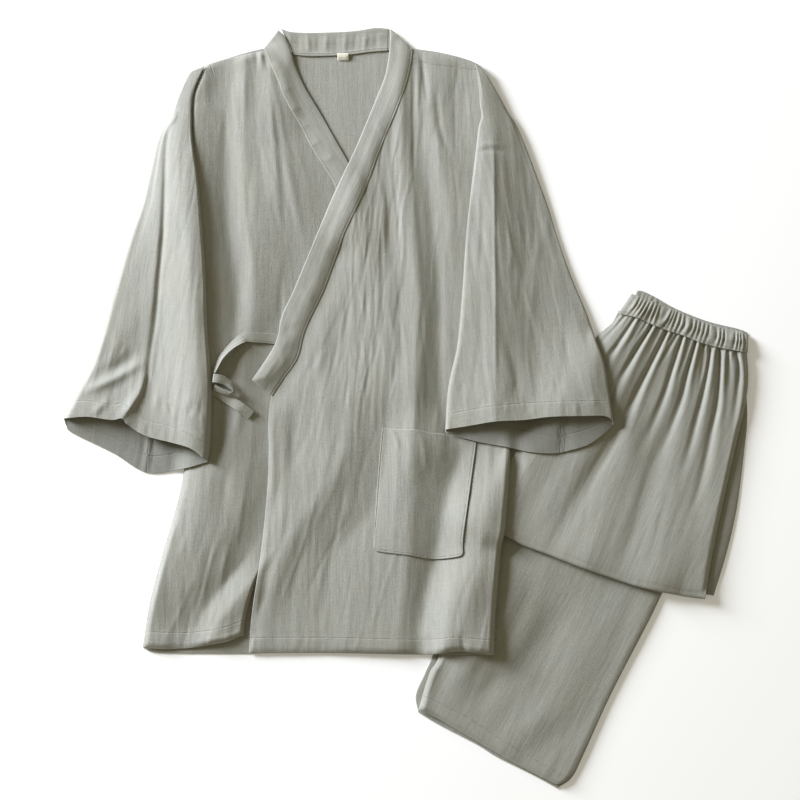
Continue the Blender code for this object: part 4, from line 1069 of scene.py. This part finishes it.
def lay_over_collar(heap):
    inner = line((-21, 475), (-22, 449), (-27, 418), (-36, 394), (-49, 362), (-65, 324), (-83, 286),
        (-95, 260), (-117, 207), (-142, 147), (-157, 114), (-161, 92), (-167, 76), (-181, 54), (-194, 35))
    plan = strip(inner, COLLAR_OUTER, 1.8)
    creases = [
        crease(4, 5, 0.7, (372, 120), (380, 128), (388, 134)),
        crease(5, 6, -0.8, (352, 170), (362, 178), (370, 184)),
        crease(5, 6, -0.8, (318, 262), (328, 270), (336, 276)),
        crease(5, 6, 0.8, (300, 290), (312, 300), (318, 306)),
        crease(6, 6, -0.8, (284, 330), (292, 330), (302, 326)),
    ]
    seam_side = away_from(plan, COLLAR_OUTER)
    wall = COLLAR_WALL * (0.16 + 0.84 * unit(seam_side / 15.0))
    free_end = away_from(plan, line((-196, 38), (-169, 13)))
    stands = 7.0 * np.exp(-((free_end / 56.0) ** 2)) * unit(seam_side / 28.0)
    panel(heap, "collar_left", plan, creases, (Crinkle(16.0, 30.0, 0.45, 91, False),), SAGE,
        wall=wall, loft=0.0, extra=stands,
        stiff=COLLAR_OUTER, free=[inner, line((-194, 35), (-169, 15))], cloth=grain_along(plan),
        seams=[COLLAR_OUTER - [2.4, 0.4], chart((283, 375), (278, 385), (271, 395))], reach=2)


def band(heap, node, *ribs, under_collar=None):
    """A tie that can turn on its edge. Each rib is a place on the chart, a width, a tilt and a lift."""
    ribs = np.array(ribs)
    table = np.column_stack([chart(*ribs[:, :2]), ribs[:, 2:]])
    points = at_shares(table, shares_for(length_of(table[:, :2]), TIE_STEP))
    middle = points[:, :2]
    ahead = np.gradient(middle, axis=0)
    ahead /= np.linalg.norm(ahead, axis=1)[:, None]
    side = np.stack([-ahead[:, 1], ahead[:, 0]], axis=1)
    u = (shares_for(TIE_WIDTH, TIE_STEP) - 0.5)[None, :]
    width, tilt, lift = points[:, 2:3], np.radians(points[:, 3:4]), points[:, 4:5]
    flat = u * width
    rows, columns = flat.shape
    plan = middle[:, None] + side[:, None] * (flat * np.cos(tilt))[..., None]
    rise = flat * np.sin(tilt)
    floor = evened(heap.at(heap.rest(2), plan).max(axis=1), 4)
    under = floor[:, None] + rise - rise.min(axis=1)[:, None] + lift
    # The wall's thickness goes along the tie's own face.
    across = np.repeat(-np.sin(tilt), columns, axis=1)
    normal = skin(side[:, None] * across[..., None], np.repeat(np.cos(tilt), columns, axis=1))
    count = np.arange(rows)
    rim = np.minimum((0.5 - np.abs(u)) * width, np.minimum(count, count[::-1])[:, None] * TIE_STEP)
    ease = 0.25 + 0.75 * np.sqrt(unit(1 - (1 - unit(rim / 0.9)) ** 2))
    middle_skin = skin(plan, under + TIE_WALL / 2)
    offset = normal * (TIE_WALL / 2 * ease)[..., None]
    upper = middle_skin + offset
    seam = np.abs(np.abs(flat) - (width / 2 - 1.6))
    run = np.repeat(count[:, None] * TIE_STEP, columns, axis=1)
    cloth = grain_along(np.stack([flat, np.repeat(count[:, None], columns, axis=1)], axis=2))
    faces = wall_faces(rows, columns)
    # Its rim distance also gives a painted highlight along all the tie's edges.
    piece = two_skins("cloth_" + node, upper, middle_skin - offset, faces, SAGE, cloth, rim, seam, run)
    declare(piece, node)
    heap.add(plan, upper[..., 2])
    if under_collar is not None:
        # Only the end that is sewn in lifts what is laid next.
        sewn = middle[:, 0] > TIE_SEWN_FROM
        under_collar.add(plan[sewn], upper[sewn][..., 2])


def lay_ties(heap, under_collar):
    band(heap, "tie_collar", (284, 340.5, 12.5, 0, 0.0), (276, 339.5, 12.5, 0, 0.0),
        (268, 338.4, 12.5, 0, 0.2), (256, 337.5, 12.5, 2, 0.8), (247, 337, 12.5, 4, 1.6),
        (241.5, 339, 12.0, 18, 1.8), (234, 344, 11.0, 36, 1.6), (227, 350.5, 10.0, 46, 1.2),
        (221, 358, 9.5, 54, 1.0), (217.5, 365, 9.0, 58, 0.7), (213.6, 372.5, 8.5, 56, 0.4),
        under_collar=under_collar)
    band(heap, "tie_free_end", (213.2, 389, 12.5, 0, 0.2), (218, 392.5, 12.5, 2, 0.4),
        (228, 399, 12.5, 2, 1.2), (238, 405.5, 12.5, -3, 1.8), (245, 410.5, 12.5, 0, 1.2),
        (251.5, 415.5, 12.5, 0, 1.0))
    band(heap, "tie_bow_loop", (213.4, 378.0, 11.5, -20, 0.6), (219, 378.8, 11.5, -26, 1.4),
        (225.5, 381.0, 11.5, -34, 2.2), (231, 385.0, 11.0, -46, 2.6), (234.6, 390.4, 9.5, -70, 2.0),
        (231.5, 394.0, 8.5, -58, 1.2), (226, 392.6, 8.0, -40, 0.9), (220, 390.0, 7.5, -30, 0.6),
        (214, 387.0, 7.0, -24, 0.3))


def drawn_in(plan, by):
    """A grid whose two sides are moved in towards its middle, mm."""
    middle = (plan[:, :1] + plan[:, -1:]) / 2
    width = np.linalg.norm(plan[:, -1] - plan[:, 0], axis=1)[:, None, None]
    return middle + (plan - middle) * (1 - 2 * by / np.maximum(width, 4 * by))


def sleeve(heap, node, armhole, inner, outer, cuff, cuff_back, arch, lines, creases, inside_creases, seams,
           inside_seams, lean):
    """A wide sleeve lying flat: its back layer rests on the heap, its front layer arches over it."""
    length, width = max(length_of(inner), length_of(outer)), length_of(cuff)
    v = np.linspace(0.0, 1.0, int(length / SLEEVE_STEP) + 1)
    v = np.concatenate([v[:-1], [1 - 1.4 / length, 1 - 0.6 / length, 1.0]])
    u = shares_for(width, 2.2)

    def layer(shares, end):
        near, far = np.vstack([inner[:-1], end[:1]]), np.vstack([outer[:-1], end[-1:]])
        return filled(armhole, end, near, far, shares, v)

    front, back = layer(u, cuff), layer(shares_for(width, 3.2), cuff_back)
    cloth_front, cloth_back = grain(front, lean), grain(back, lean)
    along = v[:, None]
    top_ease = eased(unit(along * length / 105.0))
    wall = CLOTH_WALL * (0.25 + 0.75 * top_ease)
    back_raised = crinkle_heights(cloth_back, QUIET) + crease_heights(back, inside_creases) + 0.6
    back_under = heap.lay(back, soft_floor(back_raised, 0.4) * (0.15 + 0.85 * top_ease), wall)

    u = u[None, :]
    from_side = np.minimum(u, 1 - u) * width
    swell = 0.28 * (1 - np.exp(-from_side / 1.4)) + 0.72 * np.sin(np.pi * unit(u)) ** 0.7
    lift = 0.1 + 0.4 * top_ease + (1.6 * top_ease + arch * along**1.7) * swell
    folds = softened(front, zone_heights(front, (Zone(-100, 900, lines),), SLEEVE_GAIN), 2.4, 6.0)
    folds = folds * (0.25 + 0.75 * top_ease) + crease_heights(front, creases)
    folds = folds + crinkle_heights(cloth_front, VERTICAL)
    raised = lift + folds * unit(from_side / 5.0) + hem(front, cuff) - 0.8
    inward = unit(from_side / SIDE_EASE) ** 1.5
    below = heap.at(heap.rest(1), front) * (1 - inward) + heap.at(heap.rest(12), front) * inward
    front_under = below + soft_floor(raised, 0.5) * (0.4 + 0.6 * top_ease)
    heap.add(front, front_under + wall)
    front_up, front_down = skin(front, front_under + wall), skin(drawn_in(front, 0.3), front_under)
    back_bottom = skin(drawn_in(back, 0.2), back_under)
    back_top = skin(drawn_in(back, 0.6), back_under + wall)

    def turn(side):
        """The pressed edge rounds from the front layer down to the back layer."""
        a, b = front_up[:, side], back_bottom[:, side]
        middle = (a + b) / 2
        out = front[:, side] - front[:, -1 - side]
        out /= np.maximum(np.linalg.norm(out, axis=1), 1e-6)[:, None]
        rings = []
        for angle in np.radians((45.0, 90.0, 135.0)):
            ring = middle + (a - middle) * np.cos(angle)
            ring[:, :2] += out * (EDGE_TURN * np.sin(angle))
            rings.append(ring)
        return np.stack(rings, axis=1)

    def round_tube(values_front, values_back, right, left):
        return np.concatenate([values_front, right, values_back[:, ::-1], left], axis=1)

    def thrice(values):
        return np.repeat(values[:, None], 3, axis=1)

    outside = round_tube(front_up, back_bottom, turn(-1), turn(0)[:, ::-1])
    middles = [thrice((front_down[:, side] + back_top[:, side]) / 2) for side in (-1, 0)]
    inside = round_tube(front_down, back_top, *middles)
    rows, columns = outside.shape[:2]
    index = np.arange(rows * columns).reshape(rows, columns)
    wrap = np.concatenate([index, index[:, :1]], axis=1)
    within = wrap + rows * columns
    faces = [quads(wrap), quads(within)[:, ::-1]]
    for row, flip in ((0, 1), (rows - 1, -1)):
        ring = np.stack([wrap[row, :-1], wrap[row, 1:], within[row, 1:], within[row, :-1]], axis=1)
        faces.append(ring[:, ::flip])

    cloth = round_tube(cloth_front, cloth_back, thrice(cloth_front[:, -1]), thrice(cloth_front[:, 0]))
    # Distance from the cuff edges; the material paints a highlight along them.
    to_cuff = away_from(front, cuff)
    rim = round_tube(to_cuff, away_from(back, cuff_back), thrice(to_cuff[:, -1]), thrice(to_cuff[:, 0]))
    no_seam = np.full((rows, 3), FAR)
    fields = zip(seam_fields(front, seams), seam_fields(back, inside_seams))
    seam, run = (round_tube(shown, hidden, no_seam, no_seam) for shown, hidden in fields)
    # The inner skin is marked inside, which the material darkens as painted shade.
    piece = two_skins("cloth_" + node, outside, inside, np.concatenate(faces), SAGE, cloth, rim, seam, run,
                      inside=(0.0, 1.0))
    declare(piece, node)


def lay_sleeve_right(heap):
    creases = [
        crease(3.4, 3.4, -2.2, (172, 117), (167, 140), (165.5, 160), (164.5, 200), (162.5, 240), (158.5, 280),
            (155, 320), (150.5, 350), (146.5, 380), (142, 396)),
        crease(7.0, 1.7, 3.2, (146, 372), (142, 390), (134, 404), (127, 413), (121.5, 421)),
        crease(6.0, 6.0, 2.6, (84, 392), (112, 380), (140, 364)),
        crease(9.0, 8.0, -1.8, (94, 376), (118, 366), (138, 352)),
        crease(2.4, 2.6, 1.3, (176, 112), (174, 119), (169, 126)),
        crease(2.0, 2.6, -1.3, (170, 112), (168, 120), (164, 130)),
        crease(5.0, 5.0, 1.2, (110, 400), (100, 408), (92, 414)),
        crease(2.2, 2.2, -0.9, (168, 404), (171, 409), (172, 416)),
        crease(2.2, 2.2, -0.7, (188, 406), (190, 411), (189, 417)),
    ]
    creases += scattered(
        (90, 180, 205, 410, 60, 9, 40, 130, 2.4, 5.0, 0.36, 601),
        (75, 398, 205, 440, 26, 4, 10, 22, 1.6, 2.6, 0.5, 602),
        (90, 340, 140, 400, 14, 20, 20, 60, 2.0, 4.0, 0.5, 603),
    )
    sleeve(heap, "sleeve_right", armhole=line((-271, 420), (-263, 424), (-254, 427)),
        inner=line((-271, 420), (-276, 412), (-281, 403), (-289, 384), (-296, 366), (-311, 336), (-320, 296),
            (-329, 256), (-345, 211), (-365, 147), (-391, 62), (-411, 22), (-427, -9), (-428.75, -13)),
        outer=line((-254, 427), (-258.5, 418), (-263.5, 407), (-267.5, 395), (-269.5, 383), (-270, 370),
            (-269, 336), (-262, 285), (-257, 230), (-252, 162), (-250, 102), (-245, 36), (-245, -9),
            (-247, -50), (-250, -66)),
        cuff=line((-428.75, -13), (-400, -11), (-369, -15), (-356, -13), (-349, -21), (-326, -35),
            (-291, -44), (-269, -51), (-250, -66)),
        cuff_back=line((-427, -22), (-420, -31), (-369, -56), (-326, -81), (-280, -76), (-250, -68)),
        arch=4.5,
        lines=(
            tape((176, 90, 1.5), (168, 118, 2), (158, 135, 1.5), (152, 160, 0.6), (146, 200, 0.5),
                (136, 240, 1.2), (118, 290, 3), (108, 330, 5.2), (92, 370, 6.4), (72, 400, 5.6),
                (64, 420, 5)),
            tape((180, 90, 2), (168, 125, 3), (160, 150, 2.4), (154, 200, 2.6), (148, 240, 2.8),
                (142, 290, 2.9), (138, 330, 2.2), (122, 370, 1.6), (112, 400, 1.9), (100, 425, 2.5)),
            tape((183, 90, 2), (171, 125, 3), (164, 160, 2.2), (161, 200, 2.4), (159, 240, 2.6),
                (155, 290, 2.8), (151, 330, 2.6), (146, 370, 2.6), (138, 400, 3.4), (126, 420, 3.6)),
            tape((186, 90, 1.8), (175, 125, 2.8), (170, 160, 2.0), (168, 200, 1.2), (166, 240, 0.6),
                (162, 290, 0.2), (158, 330, 0), (153.5, 370, 0), (143, 400, 0), (131, 424, 0.3)),
            tape((191, 90, 1.4), (181, 125, 2.4), (178, 160, 2.6), (182, 200, 2.8), (188, 240, 3.4),
                (192, 290, 4.4), (197, 330, 5.6), (200, 370, 7), (204, 400, 6.4), (206, 440, 6)),
            tape((200, 90, 1), (190, 125, 0.8), (188, 160, 1), (193, 200, 1.8), (197, 240, 2.6),
                (201, 290, 3.8), (205, 330, 5), (208, 370, 6.4), (210, 400, 5.4), (208, 450, 5)),
        ), creases=creases,
        inside_creases=[
            crease(19, 40, 4.4, (40, 408), (80, 412), (130, 418), (180, 428), (230, 444)),
            crease(2.4, 2.0, 1.4, (150, 420), (148, 450), (144, 474)),
            crease(1.8, 1.8, -1.8, (154, 420), (152, 450), (149, 474)),
            crease(1.6, 1.6, -1.0, (144, 420), (143, 446), (139, 470)),
            crease(8.0, 6.0, 0.8, (162, 420), (164, 450), (168, 474)),
        ], seams=[chart((66, 402), (88, 401), (112, 405), (124, 404), (148, 420), (176, 428), (208, 444))],
        inside_seams=[
            chart((80, 424), (112, 437), (146, 456), (183, 452), (206, 448)),
            chart((151, 410), (148.5, 444), (146, 476)),
        ], lean=-9.0)


def lay_sleeve_left(heap):
    creases = [
        crease(2.4, 1.8, 0.8, (494, 150), (494.5, 220), (495.3, 300), (496, 430)),
        crease(2.2, 2.6, -0.9, (478, 152), (490, 150), (504, 152)),
        crease(2.2, 2.2, 0.7, (478, 146), (490, 144), (504, 147)),
        crease(5.0, 6.0, -0.8, (510, 340), (516, 375), (514, 404)),
    ]
    creases += scattered(
        (470, 150, 590, 410, 70, -7, 40, 140, 2.4, 5.0, 0.38, 701),
        (455, 385, 605, 412, 22, 0, 10, 24, 1.8, 3.0, 0.45, 702),
        (500, 180, 560, 330, 24, -8, 30, 90, 2.0, 3.4, 0.4, 703),
    )
    sleeve(heap, "sleeve_left", armhole=line((86, 431), (97, 421)),
        inner=line((86, 431), (89, 412), (91, 396), (92, 378), (94, 364), (90, 350), (85, 307), (81, 274),
            (75, 219), (70, 147), (64, 81), (56, 44), (51, 15), (48, -27)),
        outer=line((97, 421), (107, 404), (116, 389), (126, 370), (141, 344), (173, 260), (187, 215),
            (205, 164), (224, 119), (236, 84), (246, 55), (252, 19), (258, -19)),
        cuff=line((48, -27), (80, -22), (110, -17), (147, -15), (181, -11), (225, -10), (246, -10),
            (255, -14), (258, -19)),
        cuff_back=line((50, -32), (87, -42), (125, -49), (152, -55), (181, -57), (201, -54), (227, -46),
            (247, -32), (257, -22)), arch=6.0,
        lines=(
            tape((478, 90, 0.4), (479, 126, 0.4), (475, 162, 0.8), (471, 200, 1), (467, 233, 1.2),
                (463, 290, 1.6), (458, 343, 1), (450, 390, 0.6), (446, 430, 0.4)),
            tape((482, 90, 1.6), (484, 126, 1.2), (481, 162, 1.2), (478, 200, 1.4), (474, 240, 1.4),
                (472, 290, 1.8), (466, 343, 1), (461, 390, 0.6), (456, 430, 0.4)),
            tape((486, 90, 2), (488, 126, 1.8), (486, 162, 2.2), (484, 200, 2), (482, 240, 2),
                (480, 290, 1.6), (480, 343, 0), (480, 380, 0), (476, 430, 1.4)),
            tape((492, 90, 2), (493, 126, 2.4), (493.5, 162, 4.2), (494, 200, 5), (494, 240, 5),
                (494.5, 290, 4.8), (495, 343, 3.2), (495.5, 400, 4.4), (496, 430, 4.2)),
            tape((498, 90, 1.6), (499, 126, 1.8), (500, 162, 3), (501, 200, 3.8), (501, 240, 4),
                (501, 290, 3.9), (501, 343, 2.2), (504, 400, 3.6), (506, 430, 3.4)),
            tape((500, 100, 2), (508, 126, 2.2), (522, 162, 2.2), (532, 200, 0.8), (534, 240, 1),
                (532, 290, 1.8), (530, 343, 0.6), (536, 400, 1.8), (530, 430, 2)),
            tape((508, 110, 2.4), (518, 130, 2.8), (534, 162, 2.2), (546, 200, 0.4), (555, 240, 0.2),
                (566, 290, 0.2), (550, 343, 1.6), (566, 400, 1.8), (566, 430, 1.8)),
            tape((512, 110, 2.2), (524, 130, 2.6), (542, 162, 1.8), (560, 200, 0.4), (570, 240, 0.2),
                (584, 290, 0.6), (598, 343, 1.4), (606, 400, 0.6), (613, 430, 0.4)),
        ), creases=creases,
        inside_creases=[
            crease(24, 40, 2.4, (430, 424), (500, 414), (560, 410), (630, 408)),
            crease(1.7, 1.7, -2.2, (561, 400), (561.5, 430), (560, 456)),
            crease(1.7, 1.7, -2.4, (566, 400), (566, 430), (565, 455)),
            crease(5.0, 5.0, 0.6, (575, 400), (576, 430), (575, 452)),
        ], seams=[chart((449, 414), (495, 406), (552, 402), (606, 401))],
        inside_seams=[
            chart((480, 424), (511, 427), (554, 437), (570, 434), (589, 429), (607, 420)),
            chart((561, 400), (561.5, 430), (560, 456)),
            chart((566, 400), (566, 430), (565, 455)),
        ], lean=7.0)


def build():
    heap = Heap()
    lay_lower_leg(heap)
    lay_folded_stack(heap)
    lay_upper_leg(heap)
    lay_waistband(heap)
    lay_jacket_back(heap)
    lay_under_front(heap)
    lay_collar_back(heap)
    lay_under_collar(heap)
    lay_over_front(heap)
    lay_pocket(heap)
    lay_ties(heap.aside(), heap)
    lay_over_collar(heap)
    lay_sleeve_right(heap)
    lay_sleeve_left(heap)


build()

# Surface, light and camera

ground = bpy.data.meshes.new("floor")
ground.from_pydata([(-4, -4, -0.0004), (4, -4, -0.0004), (4, 4, -0.0004), (-4, 4, -0.0004)], [],
    [(0, 1, 2, 3)])
floor = bpy.data.objects.new("floor", ground)
bpy.context.scene.collection.objects.link(floor)
pale = bpy.data.materials.new("pale_surface")
pale.use_nodes = True
pale_shader = pale.node_tree.nodes["Principled BSDF"]
pale_shader.inputs["Base Color"].default_value = (0.93, 0.93, 0.93, 1.0)
pale_shader.inputs["Roughness"].default_value = 0.9
pale_shader.inputs["Specular IOR Level"].default_value = 0.1
pale_shader.inputs["Emission Color"].default_value = (1.0, 1.0, 1.0, 1.0)
pale_shader.inputs["Emission Strength"].default_value = 0.18
ground.materials.append(pale)

world = bpy.data.worlds.new("studio")
bpy.context.scene.world = world
world.use_nodes = True
sky = world.node_tree.nodes["Background"]
sky.inputs["Color"].default_value = (1.0, 0.9, 0.6, 1.0)
sky.inputs["Strength"].default_value = 0.27


def area_light(name, place, size, power, colour):
    data = bpy.data.lights.new(name, "AREA")
    data.shape = "RECTANGLE"
    data.size, data.size_y = size
    data.energy = power
    data.color = colour
    lamp = bpy.data.objects.new(name, data)
    lamp.location = place
    aim = -np.array(place)
    lamp.rotation_mode = "QUATERNION"
    lamp.rotation_quaternion = Vector(aim).to_track_quat("-Z", "Y")
    bpy.context.scene.collection.objects.link(lamp)
    return lamp


area_light("window", (-3.4, 2.1, 1.5), (1.5, 1.9), 450.0, (0.87, 0.915, 1.0))

lens = bpy.data.cameras.new("camera")
camera = bpy.data.objects.new("camera", lens)
DISTANCE = 6.0
WIDE = 1.0
lens.sensor_width = 36.0
lens.lens = 36.0 * (DISTANCE - 0.01) / WIDE
camera.location = (
    (400 - CHART_X) * SQUARE * MM + SHIFT[0] * MM,
    (CHART_Y - 400) * SQUARE * MM + SHIFT[1] * MM,
    DISTANCE,
)
camera.rotation_euler = (0.0, 0.0, 0.0)
bpy.context.scene.collection.objects.link(camera)
bpy.context.scene.camera = camera
lens.clip_start, lens.clip_end = 0.1, 50.0
bpy.context.scene.view_settings.view_transform = "Standard"
